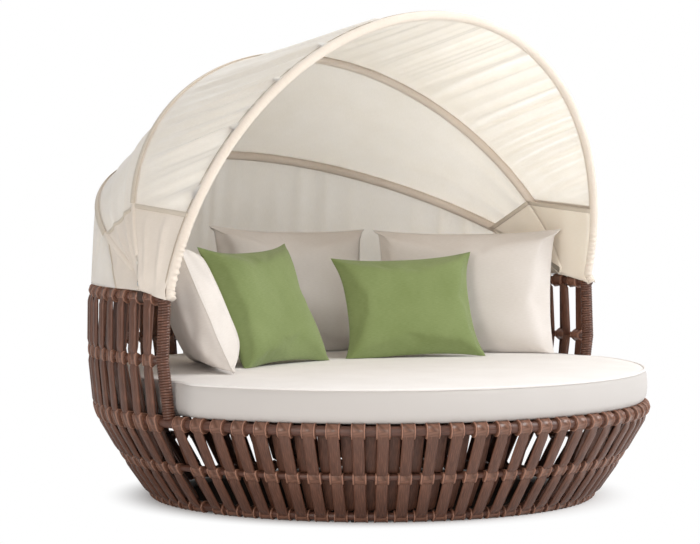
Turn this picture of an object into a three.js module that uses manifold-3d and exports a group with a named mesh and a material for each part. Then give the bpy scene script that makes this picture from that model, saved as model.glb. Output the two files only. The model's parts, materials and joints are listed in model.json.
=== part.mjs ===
// Round outdoor daybed with a folding canopy, in millimetres, +Z up, its front towards -Y.
// A barrel of steel rings is laced with wide flat resin cane: one band runs down outside the rings,
// under the base ring, up inside them half a pitch further on, and over the top again.
// The seat mattress lies on slats inside the seat rim, and the canopy hangs on three bent hoops
// that turn on one bolt at each side of the top rail.
import * as THREE from "three";
import { mergeVertices } from "three/addons/utils/BufferGeometryUtils.js";
import Module from "manifold-3d";

const wasm = await Module();
wasm.setup();

// Clearances that touching pieces keep
const FIT_GAP = 0.3;
const SOFT_GAP = 1.5;
const CUT_OVERRUN = 3;

// Rings of the barrel: the rim's centre line sets its width, and each other ring lies in or out
// from that circle. Each has its height and its tube's own radius
const FOOT_HEIGHT = 8;
const RIM_RADIUS = 880;
const RIM_HEIGHT = 291.5;
const RIM_TUBE_RADIUS = 16.5;
const BASE_RING_INSET = 169;
const BASE_TUBE_RADIUS = 11;
const BASE_MID_INSET = 76;
const BASE_MID_HEIGHT = 147;
const BASE_MID_TUBE_RADIUS = 9;
const WALL_MID_OUTSET = 26;
const WALL_MID_HEIGHT = 481;
const WALL_MID_TUBE_RADIUS = 9.5;
const TOP_RAIL_OUTSET = 18;
const TOP_RAIL_HEIGHT = 670;
const TOP_RAIL_TUBE_RADIUS = 15;
const BASE_RING_RADIUS = RIM_RADIUS - BASE_RING_INSET;
const BASE_MID_RADIUS = RIM_RADIUS - BASE_MID_INSET;
const WALL_MID_RADIUS = RIM_RADIUS + WALL_MID_OUTSET;
const TOP_RAIL_RADIUS = RIM_RADIUS + TOP_RAIL_OUTSET;

// Flat resin cane and its lacing, angles in degrees from the front towards +X
const CANE_WIDTH = 34.5;
const CANE_THICKNESS = 4;
const FRONT_STRAPS = 35;
const FRONT_END_ANGLE = 80.75;
const BACK_STRAPS = 39;
const BACK_START_ANGLE = 88;
const FRONT_PANELS = 5;
const BACK_PANELS = 8;
const WRAP_CORNERS = 3;
const CANE_JOINT_DROP = 12;

// Wound posts at the ends of the back wall
const POST_RADIUS = 20;
const POST_SIDES = 10;

// Feet under the base ring
const FOOT_RADIUS = 7.5;
const FOOT_EDGE = 1.5;

// Deck inside the seat rim
const SLAT_WIDTH = 22;
const SLAT_HEIGHT = 20;
const BEAM_WIDTH = 26;
const BEAM_HEIGHT = 24;

// Mattress, which overhangs the rim's circle in front
const MATTRESS_OVERHANG = 13;
const MATTRESS_RADIUS = RIM_RADIUS + MATTRESS_OVERHANG;
const MATTRESS_HEIGHT = 101;
const MATTRESS_CROWN = 9;
const MATTRESS_PIPING = 5;
const MATTRESS_EDGE_ROUND = 13;

// Hoops of the canopy, all on one pivot bolt a side
const HOOP_TUBE_RADIUS = 12.5;
const PIVOT_RISE = 42;
const EYE_THICKNESS = 8;
const EYE_HALF_HEIGHT = 15.5;
const EYE_PITCH = 9;
const EYE_FLAT_LENGTH = 40;
const EYE_BLEND_LENGTH = 34;
const EYE_BEYOND_BOLT = 15;
const OUTER_EYE_INSET = 5;
const MID_HOOP_RISE = 827;
const REAR_HOOP_RISE = 950;
const FRONT_HOOP_RISE = 897;
const FRONT_HOOP_DROP = 32;
const FRONT_CRANK_LENGTH = 105;
const FRONT_CRANK_BEND = 34;
const FRONT_HOOP_TILT = -16;
const MID_HOOP_TILT = 28.8;
const REAR_HOOP_TILT = 65.3;

// Pivot bracket, bolt and spacer
const BRACKET_THICKNESS = 4;
const BRACKET_WIDTH = 28;
const BRACKET_EAR_MARGIN = 15;
const BRACKET_HOOK_ANGLE = 70;
const BOLT_RADIUS = 4;
const BOLT_HOLE_CLEARANCE = 0.4;
const BOLT_HEAD_RADIUS = 8;
const BOLT_HEAD_HEIGHT = 5;
const SPACER_RADIUS = 8;

// Canopy fabric, as three panels
const FABRIC_THICKNESS = 3;
const SLEEVE_GAP = 0.5;
const REAR_PANEL_INSET = 8;
const FOLD_DEPTH_FRONT = 9;
const FOLD_DEPTH_MID = 5;
const FOLD_DEPTH_REAR = 10;
const REAR_PANEL_LAG_ANGLE = 5.5;

// Loose cushions: width, height, thickness
const BACK_CUSHION_WIDTH = 650;
const BACK_CUSHION_HEIGHT = 450;
const BACK_CUSHION_THICKNESS = 140;
const SIDE_CUSHION_WIDTH = 600;
const SIDE_CUSHION_HEIGHT = 420;
const SIDE_CUSHION_THICKNESS = 135;
const SQUARE_PILLOW_SIDE = 450;
const SQUARE_PILLOW_THICKNESS = 130;
const LUMBAR_PILLOW_WIDTH = 500;
const LUMBAR_PILLOW_HEIGHT = 380;
const LUMBAR_PILLOW_THICKNESS = 125;

// Counts of facets
const TUBE_SIDES = 8;
const SLIM_TUBE_SIDES = 6;
const HOOP_STEPS = 24;
const PANEL_STEPS_ACROSS = 5;
const MATTRESS_STEPS = 64;
const CUSHION_STEPS_ACROSS = 12;
const CUSHION_STEPS_UP = 10;

const rad = THREE.MathUtils.degToRad;
const deg = THREE.MathUtils.radToDeg;
const colours = {
  cane: { color: 0x6b4a3d, roughness: 0.6, metalness: 0 },
  steel: { color: 0x35261f, roughness: 0.5, metalness: 0.3 },
  rubber: { color: 0x1c1a19, roughness: 0.85, metalness: 0 },
  hoop: { color: 0xd9d3c8, roughness: 0.4, metalness: 0.4 },
  bolt: { color: 0xb9bbbd, roughness: 0.3, metalness: 0.9 },
  nylon: { color: 0x2b2b2c, roughness: 0.6, metalness: 0 },
  canopy: { color: 0xe6dccf, roughness: 0.9, metalness: 0 },
  seat: { color: 0xe9e4de, roughness: 0.9, metalness: 0 },
  cushion: { color: 0xdcd6cf, roughness: 0.9, metalness: 0 },
  pillow: { color: 0x7e9a4e, roughness: 0.85, metalness: 0 },
};

// A point on a circle round the daybed's axis, the angle counted from the front towards +X
function polar(angle, radius, height) {
  return new THREE.Vector3(radius * Math.sin(rad(angle)), -radius * Math.cos(rad(angle)), height);
}

// Direction along a ring at an angle
function along(angle) {
  return new THREE.Vector3(Math.cos(rad(angle)), Math.sin(rad(angle)), 0);
}

function signedVolume(positions, index) {
  const [a, b, c] = [new THREE.Vector3(), new THREE.Vector3(), new THREE.Vector3()];
  let sum = 0;
  for (let i = 0; i < index.length; i += 3) {
    a.fromArray(positions, 3 * index[i]);
    b.fromArray(positions, 3 * index[i + 1]);
    c.fromArray(positions, 3 * index[i + 2]);
    sum += a.dot(b.cross(c));
  }
  return sum / 6;
}

// A closed surface from points and triangles, turned so that its faces point out
function surface(points, index) {
  const positions = points.flatMap((p) => p.toArray());
  const facing = signedVolume(positions, index) < 0 ? [...index].reverse() : index;
  const geometry = new THREE.BufferGeometry();
  geometry.setAttribute("position", new THREE.Float32BufferAttribute(positions, 3));
  geometry.setIndex(facing);
  geometry.computeVertexNormals();
  return geometry;
}

// Joins cross-sections of equal point count into a skin: a loop, or a run with two flat ends
function skin(sections, closed) {
  const count = sections[0].length;
  const points = sections.flat();
  const index = [];
  const runs = closed ? sections.length : sections.length - 1;
  for (let i = 0; i < runs; i += 1) {
    const here = i * count;
    const next = ((i + 1) % sections.length) * count;
    for (let j = 0; j < count; j += 1) {
      const k = (j + 1) % count;
      index.push(here + j, here + k, next + k, here + j, next + k, next + j);
    }
  }
  if (!closed) {
    const last = (sections.length - 1) * count;
    for (let j = 1; j < count - 1; j += 1) {
      index.push(0, j + 1, j);
      index.push(last, last + j, last + j + 1);
    }
  }
  return surface(points, index);
}

function solidOf(geometry) {
  const bare = geometry.clone();
  bare.deleteAttribute("normal");
  if (bare.getAttribute("uv")) bare.deleteAttribute("uv");
  const merged = mergeVertices(bare);
  const vertProperties = new Float32Array(merged.attributes.position.array);
  const triVerts = new Uint32Array(merged.index.array);
  return new wasm.Manifold(new wasm.Mesh({ numProp: 3, vertProperties, triVerts }));
}

function geometryOf(solid) {
  const mesh = solid.getMesh();
  const positions = new Float32Array(mesh.numVert * 3);
  for (let i = 0; i < mesh.numVert; i += 1) {
    positions.set(mesh.vertProperties.subarray(i * mesh.numProp, i * mesh.numProp + 3), i * 3);
  }
  const geometry = new THREE.BufferGeometry();
  geometry.setAttribute("position", new THREE.BufferAttribute(positions, 3));
  geometry.setIndex(new THREE.BufferAttribute(new Uint32Array(mesh.triVerts), 1));
  geometry.computeVertexNormals();
  return geometry;
}

function cut(geometry, tools) {
  const whole = tools.reduce((rest, tool) => rest.subtract(solidOf(tool)), solidOf(geometry));
  return geometryOf(whole);
}

function join(geometries) {
  const whole = geometries.map(solidOf).reduce((sum, solid) => sum.add(solid));
  return geometryOf(whole);
}

// A cylinder along X
function cylinderX(radius, from, to, sides) {
  const geometry = new THREE.CylinderGeometry(radius, radius, to - from, sides);
  return geometry.rotateZ(Math.PI / 2).translate((from + to) / 2, 0, 0);
}

const daybed = new THREE.Group();
const shapes = new THREE.Group();
daybed.add(shapes);

function place(name, geometry, finish, parent = shapes) {
  const mesh = new THREE.Mesh(geometry, new THREE.MeshStandardMaterial(colours[finish]));
  mesh.name = name;
  parent.add(mesh);
  return mesh;
}

// Derived sizes of the lacing
const frontPitch = (2 * FRONT_END_ANGLE) / (FRONT_STRAPS - 1);
const backPitch = (360 - 2 * BACK_START_ANGLE) / (BACK_STRAPS - 1);
const postAngle = (FRONT_END_ANGLE + BACK_START_ANGLE) / 2;
const wrapReach = FIT_GAP + CANE_THICKNESS / 2;
const slimFlat = Math.cos(Math.PI / SLIM_TUBE_SIDES);
const baseRingHeight = FOOT_HEIGHT + FIT_GAP + BASE_TUBE_RADIUS * slimFlat;
const frontAngle = (k) => -FRONT_END_ANGLE + k * frontPitch;
const backAngle = (k) => BACK_START_ANGLE + k * backPitch;

// A ring's tube has a corner facing straight out, or turned to where the leaning cane touches it
const leaningTurn = Math.PI / SLIM_TUBE_SIDES;
const baseRing = { radius: BASE_RING_RADIUS, height: baseRingHeight, tube: BASE_TUBE_RADIUS };
const baseMid = {
  radius: BASE_MID_RADIUS,
  height: BASE_MID_HEIGHT,
  tube: BASE_MID_TUBE_RADIUS,
  turned: leaningTurn,
};
const rim = { radius: RIM_RADIUS, height: RIM_HEIGHT, tube: RIM_TUBE_RADIUS };
const wallMid = { radius: WALL_MID_RADIUS, height: WALL_MID_HEIGHT, tube: WALL_MID_TUBE_RADIUS };
const topRail = { radius: TOP_RAIL_RADIUS, height: TOP_RAIL_HEIGHT, tube: TOP_RAIL_TUBE_RADIUS };

const count = (n) => [...Array(n).keys()];
const frontAngles = count(FRONT_STRAPS).map(frontAngle);
const backAngles = count(BACK_STRAPS).map(backAngle);

// Cross-section of a ring's tube at an angle
function ringSection(ring, angle, sides) {
  return count(sides).map((i) => {
    const turn = (2 * Math.PI * i) / sides + (ring.turned ?? 0);
    const radius = ring.radius + ring.tube * Math.cos(turn);
    return polar(angle, radius, ring.height + ring.tube * Math.sin(turn));
  });
}

function ringTube(ring, angles, sides, closed) {
  return skin(angles.map((angle) => ringSection(ring, angle, sides)), closed);
}

// The whole rings have a corner at every outer strap and at both posts
function buildRings() {
  const all = [...frontAngles, postAngle, ...backAngles, 360 - postAngle];
  place("base_ring", ringTube(baseRing, all, SLIM_TUBE_SIDES, true), "steel");
  place("base_mid_ring", ringTube(baseMid, all, SLIM_TUBE_SIDES, true), "steel");
  place("seat_rim", ringTube(rim, all, TUBE_SIDES, true), "steel");
  const postHalf = deg(Math.asin((POST_RADIUS + FIT_GAP) / wallMid.radius));
  const midEnds = [postAngle + postHalf, 360 - postAngle - postHalf];
  const wallAngles = [midEnds[0], ...backAngles, midEnds[1]];
  place("wall_mid_rail", ringTube(wallMid, wallAngles, SLIM_TUBE_SIDES, false), "steel");
  const railHalf = deg(Math.asin(POST_RADIUS / topRail.radius));
  const railAngles = [postAngle - railHalf, ...backAngles, 360 - postAngle + railHalf];
  place("top_rail", ringTube(topRail, railAngles, TUBE_SIDES, false), "steel");
}

// Wound posts from the seat rim to the top rail, bent where the wall bends
function buildPosts() {
  const foot = rim.height + rim.tube + FIT_GAP;
  const head = topRail.height - topRail.tube - FIT_GAP;
  const stations = [
    [rim.radius, foot],
    [wallMid.radius, wallMid.height],
    [topRail.radius, head],
  ];
  for (const [name, angle] of [["left_post", -postAngle], ["right_post", postAngle]]) {
    const sections = stations.map(([radius, height]) =>
      count(POST_SIDES).map((i) => {
        const turn = (2 * Math.PI * i) / POST_SIDES;
        const out = polar(angle, radius + POST_RADIUS * Math.cos(turn), height);
        return out.addScaledVector(along(angle), POST_RADIUS * Math.sin(turn));
      }),
    );
    place(name, skin(sections, false), "cane");
  }
}

// Angle, in the radius and height plane, of the outward normal of a cane run between two rings
function runNormal(from, to) {
  const [dr, dz] = [to.radius - from.radius, to.height - from.height];
  const lean = Math.acos((from.tube - to.tube) / Math.hypot(dr, dz));
  return Math.atan2(dz, dr) + lean;
}

// The corners that a band makes as it goes round one ring, with the phase of its lacing at each
function stopCorners(stop, before, after) {
  const start = runNormal(before.ring, stop.ring);
  let turn = runNormal(stop.ring, after.ring) - start;
  turn = THREE.MathUtils.euclideanModulo(turn + Math.PI, 2 * Math.PI) - Math.PI;
  if (stop.corners > 1 && turn > 0) turn -= 2 * Math.PI;
  const step = turn / stop.corners;
  const reach = (stop.ring.tube + wrapReach) / Math.cos(step / 2);
  return count(stop.corners).map((i) => {
    const angle = start + (i + 0.5) * step;
    const travel = stop.corners > 1 ? i / (stop.corners - 1) : 0;
    return {
      radius: stop.ring.radius + reach * Math.cos(angle),
      height: stop.ring.height + reach * Math.sin(angle),
      phase: stop.phase + (stop.corners > 1 ? travel / 2 : 0),
    };
  });
}

// One pitch of lacing as corners: over the top from half a pitch back, down outside, under the
// base ring, and up inside half a pitch on
function lacingPitch(rings) {
  const [top, ...below] = rings;
  const bottom = below.pop();
  const stops = [
    { ring: top, corners: WRAP_CORNERS, phase: -0.5 },
    ...below.map((ring) => ({ ring, corners: 1, phase: 0 })),
    { ring: bottom, corners: WRAP_CORNERS, phase: 0 },
    ...below.toReversed().map((ring) => ({ ring, corners: 1, phase: 0.5 })),
  ];
  return stops.map((stop, i) => {
    const before = stops[(i + stops.length - 1) % stops.length];
    return stopCorners(stop, before, stops[(i + 1) % stops.length]);
  });
}

// A ring is a polygon, nearer the axis between its corners
function chordShare(phase, pitch) {
  const off = Math.min(Math.abs(phase), 0.5);
  return Math.cos(rad(pitch / 2)) / Math.cos(rad(pitch * (0.5 - off)));
}

// A flat band through corner points, mitred at each, its width along the rings
function band(corners) {
  const sections = corners.map(({ point, angle }, i) => {
    const width = along(angle);
    const sides = [];
    if (i > 0) sides.push(point.clone().sub(corners[i - 1].point));
    if (i < corners.length - 1) sides.push(corners[i + 1].point.clone().sub(point));
    const normals = sides.map((side) => new THREE.Vector3().crossVectors(width, side).normalize());
    const mitre = normals.length === 1 ? normals[0] : normals[0].clone().add(normals[1]);
    if (normals.length > 1) mitre.divideScalar(1 + normals[0].dot(normals[1]));
    const half = [CANE_WIDTH / 2, CANE_THICKNESS / 2];
    return [[1, 1], [-1, 1], [-1, -1], [1, -1]].map(([w, t]) =>
      point.clone().addScaledVector(width, w * half[0]).addScaledVector(mitre, t * half[1]),
    );
  });
  return skin(sections, false);
}

// The corner points of straps first to last, joined end to end
function lacing(rings, angles, pitch, first, last, ends) {
  const stops = lacingPitch(rings);
  const corners = [];
  for (let k = first; k <= last; k += 1) {
    for (const corner of stops.flat()) {
      const angle = angles[k] + corner.phase * pitch;
      const radius = corner.radius * chordShare(corner.phase, pitch);
      corners.push({ point: polar(angle, radius, corner.height), angle });
    }
  }
  const next = stops[0][0];
  const end = angles[last] + pitch / 2;
  const endRadius = next.radius * chordShare(0.5, pitch);
  corners.push({ point: polar(end, endRadius, next.height), angle: end });
  trimStart(corners, ends, stops);
  trimEnd(corners, ends);
  return band(corners);
}

function between(a, b, distance) {
  const way = b.point.clone().sub(a.point);
  const share = distance / way.length();
  const point = a.point.clone().addScaledVector(way, share);
  return { point, angle: THREE.MathUtils.lerp(a.angle, b.angle, share) };
}

// A band starts on the inner run just under the top ring, or beside a post on top of the rim
function trimStart(corners, ends, stops) {
  if (ends.tucked) {
    const run = corners[1].point.distanceTo(corners[2].point);
    corners.splice(0, 2, between(corners[1], corners[2], run / 2));
    return;
  }
  const lastInner = stops.at(-1)[0];
  const angle = corners[0].angle;
  const below = {
    point: polar(angle, lastInner.radius, lastInner.height),
    angle,
  };
  corners.unshift(between(corners[0], below, CANE_JOINT_DROP - FIT_GAP));
}

// It ends on the inner run under the next start, or low on the inside beside a post
function trimEnd(corners, ends) {
  const last = corners.pop();
  if (ends.short) {
    corners.splice(corners.length - ends.drop, ends.drop);
    return;
  }
  corners.push(between(last, corners.at(-1), CANE_JOINT_DROP + FIT_GAP));
}

// The laced cane, cut into panels that each hold a few straps
function buildLacing() {
  const frontRings = [rim, baseMid, baseRing];
  const backRings = [topRail, wallMid, rim, baseMid, baseRing];
  for (let i = 0; i < FRONT_PANELS; i += 1) {
    const first = Math.round((i * FRONT_STRAPS) / FRONT_PANELS);
    const last = Math.round(((i + 1) * FRONT_STRAPS) / FRONT_PANELS) - 1;
    const ends = { tucked: i === 0 };
    const geometry = lacing(frontRings, frontAngles, frontPitch, first, last, ends);
    place(`front_weave_${i + 1}`, geometry, "cane");
  }
  for (let i = 0; i < BACK_PANELS; i += 1) {
    const first = Math.round((i * BACK_STRAPS) / BACK_PANELS);
    const last = Math.round(((i + 1) * BACK_STRAPS) / BACK_PANELS) - 1;
    const ends = { short: i === BACK_PANELS - 1, drop: 2 };
    const geometry = lacing(backRings, backAngles, backPitch, first, last, ends);
    place(`back_weave_${i + 1}`, geometry, "cane");
  }
}

// Six round feet on the base ring, each in the slanting gap between two wraps
function buildFeet() {
  const gapShare = 0.606;
  const spots = [
    frontAngle((FRONT_STRAPS - 1) / 2 - 10 + gapShare),
    frontAngle((FRONT_STRAPS - 1) / 2 + 3 + gapShare),
    frontAngle((FRONT_STRAPS - 1) / 2 + 15 + gapShare),
    backAngle(9 + gapShare),
    backAngle(22 + gapShare),
    backAngle(34 + gapShare),
  ];
  const profile = [
    [0, 0],
    [FOOT_RADIUS - FOOT_EDGE, 0],
    [FOOT_RADIUS, FOOT_EDGE],
    [FOOT_RADIUS, FOOT_HEIGHT],
    [0, FOOT_HEIGHT],
  ].map(([x, y]) => new THREE.Vector2(x, y));
  const sides = 10;
  spots.forEach((angle, i) => {
    const geometry = new THREE.LatheGeometry(profile, sides).rotateX(Math.PI / 2);
    const foot = place(`foot_${i + 1}`, geometry, "rubber");
    foot.position.copy(polar(angle, baseRing.radius, 0));
  });
}

// The turn of the cane over the seat rim stands proud by this much
const wrapTop = (ring) => ring.tube + FIT_GAP + CANE_THICKNESS;
const wrapCornerShare = 1 / Math.cos(Math.PI / (2 * WRAP_CORNERS) + rad(2));
const deckTop = rim.height + wrapTop(rim) * wrapCornerShare;
const mattressBottom = deckTop + FIT_GAP;
const rimInside = rim.radius * Math.cos(rad(backPitch / 2)) - rim.tube;

// A slat across the daybed whose ends butt against the rim at the angle of one outer strap
function slat(angle) {
  const reach = rimInside - FIT_GAP;
  const y = -reach * Math.cos(rad(angle));
  const half = SLAT_WIDTH / 2;
  const endAt = (edge) => (reach + edge * Math.cos(rad(angle))) / Math.sin(rad(angle));
  const outline = new THREE.Shape([
    new THREE.Vector2(endAt(y - half), y - half),
    new THREE.Vector2(endAt(y + half), y + half),
    new THREE.Vector2(-endAt(y + half), y + half),
    new THREE.Vector2(-endAt(y - half), y - half),
  ]);
  const geometry = new THREE.ExtrudeGeometry(outline, { depth: SLAT_HEIGHT, bevelEnabled: false });
  return geometry.translate(0, 0, deckTop - SLAT_HEIGHT);
}

function buildDeck() {
  const middle = (FRONT_STRAPS - 1) / 2;
  const slatAngles = [
    frontAngles[middle + 12],
    frontAngles[middle + 16],
    backAngles[1],
    backAngles[4],
    backAngles[8],
  ];
  slatAngles.forEach((angle, i) => place(`deck_slat_${i + 1}`, slat(angle), "steel"));
  const length = 2 * (rimInside - FIT_GAP);
  const beam = new THREE.BoxGeometry(BEAM_WIDTH, length, BEAM_HEIGHT);
  const top = deckTop - SLAT_HEIGHT - FIT_GAP;
  place("deck_beam", beam.translate(0, 0, top - BEAM_HEIGHT / 2), "steel");
}

// Outline of the mattress: over the rim in front, inside the cane of the wall at the back
function mattressEdge(angle) {
  const wall = rimInside - 2 * wrapReach + FIT_GAP - SOFT_GAP;
  const away = Math.min(angle, 360 - angle);
  const postHalf = deg(POST_RADIUS / rim.radius);
  const share = THREE.MathUtils.smoothstep(away, postAngle - 5 * postHalf, postAngle - 2 * postHalf);
  return THREE.MathUtils.lerp(MATTRESS_RADIUS, wall, share);
}

function buildMattress() {
  const seam = mattressBottom + MATTRESS_HEIGHT;
  const levels = [
    [-MATTRESS_EDGE_ROUND, mattressBottom],
    [-MATTRESS_PIPING / 2, mattressBottom + MATTRESS_PIPING],
    [0, mattressBottom + MATTRESS_EDGE_ROUND],
    [0, seam - MATTRESS_EDGE_ROUND],
    [-MATTRESS_PIPING / 2, seam - MATTRESS_PIPING],
    [0, seam],
    [-MATTRESS_EDGE_ROUND, seam + MATTRESS_PIPING / 2],
  ];
  const angles = count(MATTRESS_STEPS).map((i) => (360 * i) / MATTRESS_STEPS);
  const points = levels.flatMap(([inset, height]) =>
    angles.map((angle) => polar(angle, mattressEdge(angle) + inset, height)),
  );
  const top = seam + MATTRESS_CROWN;
  const flatShare = 0.86;
  points.push(...angles.map((angle) => polar(angle, mattressEdge(angle) * flatShare, top)));
  const rows = levels.length + 1;
  const index = [];
  for (let row = 0; row < rows - 1; row += 1) {
    for (let i = 0; i < MATTRESS_STEPS; i += 1) {
      const j = (i + 1) % MATTRESS_STEPS;
      const [a, b] = [row * MATTRESS_STEPS, (row + 1) * MATTRESS_STEPS];
      index.push(a + i, a + j, b + j, a + i, b + j, b + i);
    }
  }
  const [under, over] = [points.length, points.length + 1];
  points.push(new THREE.Vector3(0, 0, mattressBottom), new THREE.Vector3(0, 0, top));
  const lastRow = (rows - 1) * MATTRESS_STEPS;
  for (let i = 0; i < MATTRESS_STEPS; i += 1) {
    const j = (i + 1) % MATTRESS_STEPS;
    index.push(under, j, i, over, lastRow + i, lastRow + j);
  }
  place("seat_mattress", surface(points, index), "seat");
  return top;
}

// A crowned cushion in the XZ plane, facing -Y: its sides draw in between its corners
function cushionGeometry(width, height, thickness) {
  const drawInShare = 0.055;
  const [nu, nv] = [CUSHION_STEPS_ACROSS, CUSHION_STEPS_UP];
  const spread = (i, n) => Math.sin((Math.PI / 2) * ((2 * i) / n - 1));
  const points = [];
  const ids = new Map();
  const vertex = (i, j, face) => {
    const onEdge = i === 0 || j === 0 || i === nu || j === nv;
    const key = `${i},${j},${onEdge ? 0 : face}`;
    if (!ids.has(key)) {
      const [u, v] = [spread(i, nu), spread(j, nv)];
      const x = (width / 2) * u * (1 - drawInShare * (1 - v * v));
      const z = (height / 2) * v * (1 - drawInShare * (1 - u * u));
      const crown = Math.sqrt((1 - u ** 4) * (1 - v ** 4)) * (thickness / 2);
      ids.set(key, points.length);
      points.push(new THREE.Vector3(x, onEdge ? 0 : face * crown, z));
    }
    return ids.get(key);
  };
  const index = [];
  for (let i = 0; i < nu; i += 1) {
    for (let j = 0; j < nv; j += 1) {
      for (const face of [-1, 1]) {
        const [a, b] = [vertex(i, j, face), vertex(i + 1, j, face)];
        const [c, d] = [vertex(i + 1, j + 1, face), vertex(i, j + 1, face)];
        const flipped = (i < nu / 2) === (j < nv / 2);
        const halves = flipped ? [a, b, c, a, c, d] : [a, b, d, b, c, d];
        index.push(...(face < 0 ? halves : halves.toReversed()));
      }
    }
  }
  return surface(points, index);
}

// Where each cushion stands: angle and share of the mattress radius of its foot, the way it
// faces from the front towards +X, how far it leans back and rolls, all angles in degrees
const cushionPlaces = [
  {
    name: "back_cushion_left",
    size: [BACK_CUSHION_WIDTH, BACK_CUSHION_HEIGHT, BACK_CUSHION_THICKNESS],
    at: 171,
    awayShare: 0.59,
    faces: -3,
    leans: 9,
    rolls: -1.8,
    finish: "cushion",
  },
  {
    name: "back_cushion_right",
    size: [BACK_CUSHION_WIDTH, BACK_CUSHION_HEIGHT, BACK_CUSHION_THICKNESS],
    at: 107,
    awayShare: 0.66,
    faces: -50,
    leans: 9,
    rolls: 0.7,
    finish: "cushion",
  },
  {
    name: "side_cushion",
    size: [SIDE_CUSHION_WIDTH, SIDE_CUSHION_HEIGHT, SIDE_CUSHION_THICKNESS],
    at: -108,
    awayShare: 0.59,
    faces: 52,
    leans: 21,
    rolls: -2,
    finish: "cushion",
  },
  {
    name: "green_pillow_square",
    size: [SQUARE_PILLOW_SIDE, SQUARE_PILLOW_SIDE, SQUARE_PILLOW_THICKNESS],
    at: -121,
    awayShare: 0.29,
    faces: 13,
    leans: 25,
    rolls: 0.6,
    finish: "pillow",
  },
  {
    name: "green_pillow_lumbar",
    size: [LUMBAR_PILLOW_WIDTH, LUMBAR_PILLOW_HEIGHT, LUMBAR_PILLOW_THICKNESS],
    at: 108,
    awayShare: 0.31,
    faces: -26,
    leans: 22,
    rolls: 2,
    finish: "pillow",
  },
];

function buildCushions(seatTop) {
  for (const spot of cushionPlaces) {
    const [width, height, thickness] = spot.size;
    const geometry = cushionGeometry(width, height, thickness);
    geometry.translate(0, 0, height / 2);
    geometry.rotateY(rad(-spot.rolls));
    geometry.rotateX(rad(-spot.leans));
    geometry.rotateZ(rad(spot.faces));
    const foot = polar(spot.at, spot.awayShare * MATTRESS_RADIUS, seatTop + FIT_GAP);
    geometry.computeBoundingBox();
    geometry.translate(foot.x, foot.y, foot.z - geometry.boundingBox.min.z);
    place(spot.name, geometry, spot.finish);
  }
}

// Pivot of the hoops, in the gap between the first two outer straps of the wall
const pivotAngle = BACK_START_ANGLE + backPitch / 2;
const pivotY = polar(pivotAngle, topRail.radius, 0).y;
const pivotZ = topRail.height + PIVOT_RISE;
const outerEyeX = topRail.radius - OUTER_EYE_INSET;
const eyeX = { mid: outerEyeX, front: outerEyeX - EYE_PITCH, rear: outerEyeX - 2 * EYE_PITCH };

// Each hoop: where its plane starts from the pivot, its tilt, half width, rise and roundness
const hoopShapes = {
  front: {
    startY: -FRONT_CRANK_LENGTH,
    startZ: -FRONT_HOOP_DROP,
    tilt: FRONT_HOOP_TILT,
    halfWidth: eyeX.front,
    rise: FRONT_HOOP_RISE,
    power: 2,
  },
  mid: {
    startY: 0,
    startZ: 0,
    tilt: MID_HOOP_TILT,
    halfWidth: eyeX.mid,
    rise: MID_HOOP_RISE,
    power: 1.95,
  },
  rear: {
    startY: 0,
    startZ: 0,
    tilt: REAR_HOOP_TILT,
    halfWidth: eyeX.rear,
    rise: REAR_HOOP_RISE,
    power: 2.05,
  },
};

// Height up a hoop's plane and half width there, for an angle from the foot at +X over to -X
function hoopAt(shape, turn) {
  const x = shape.halfWidth * Math.sign(Math.cos(turn)) * Math.abs(Math.cos(turn)) ** (2 / shape.power);
  const up = shape.rise * Math.sin(turn) ** (2 / shape.power);
  return [x, up];
}

function inPlane(shape, x, up) {
  const tilt = rad(shape.tilt);
  const y = pivotY + shape.startY + up * Math.sin(tilt);
  return new THREE.Vector3(x, y, pivotZ + shape.startZ + up * Math.cos(tilt));
}

// Angle at which a hoop has climbed a given way from its start
function turnAtRise(shape, up) {
  return Math.asin((up / shape.rise) ** (shape.power / 2));
}

// Stations of a hoop's leg at +X, from the end of its eye up to where the arch begins
function legStations(shape, isCranked) {
  const x = shape.halfWidth;
  const ahead = isCranked ? new THREE.Vector3(0, -1, 0) : inPlane(shape, 0, 1).sub(inPlane(shape, 0, 0));
  const bolt = new THREE.Vector3(x, pivotY, pivotZ);
  const at = (distance) => bolt.clone().addScaledVector(ahead, distance);
  const stations = [
    { point: at(-EYE_BEYOND_BOLT), flat: 1, narrow: 0.55 },
    { point: at(-EYE_BEYOND_BOLT / 2), flat: 1, narrow: 0.95 },
    { point: at(EYE_FLAT_LENGTH), flat: 1, narrow: 1 },
    { point: at(EYE_FLAT_LENGTH + EYE_BLEND_LENGTH), flat: 0, narrow: 1 },
  ];
  if (!isCranked) return stations;
  const knee = inPlane(shape, x, -shape.startZ / Math.cos(rad(shape.tilt)));
  const up = inPlane(shape, 0, 1).sub(inPlane(shape, 0, 0));
  const before = knee.clone().addScaledVector(ahead, -FRONT_CRANK_BEND);
  const after = knee.clone().addScaledVector(up, FRONT_CRANK_BEND);
  stations[3].point.copy(before);
  const middle = before.clone().add(after).add(knee).add(knee).divideScalar(4);
  stations.push({ point: middle, flat: 0, narrow: 1 }, { point: after, flat: 0, narrow: 1 });
  return stations;
}

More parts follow.
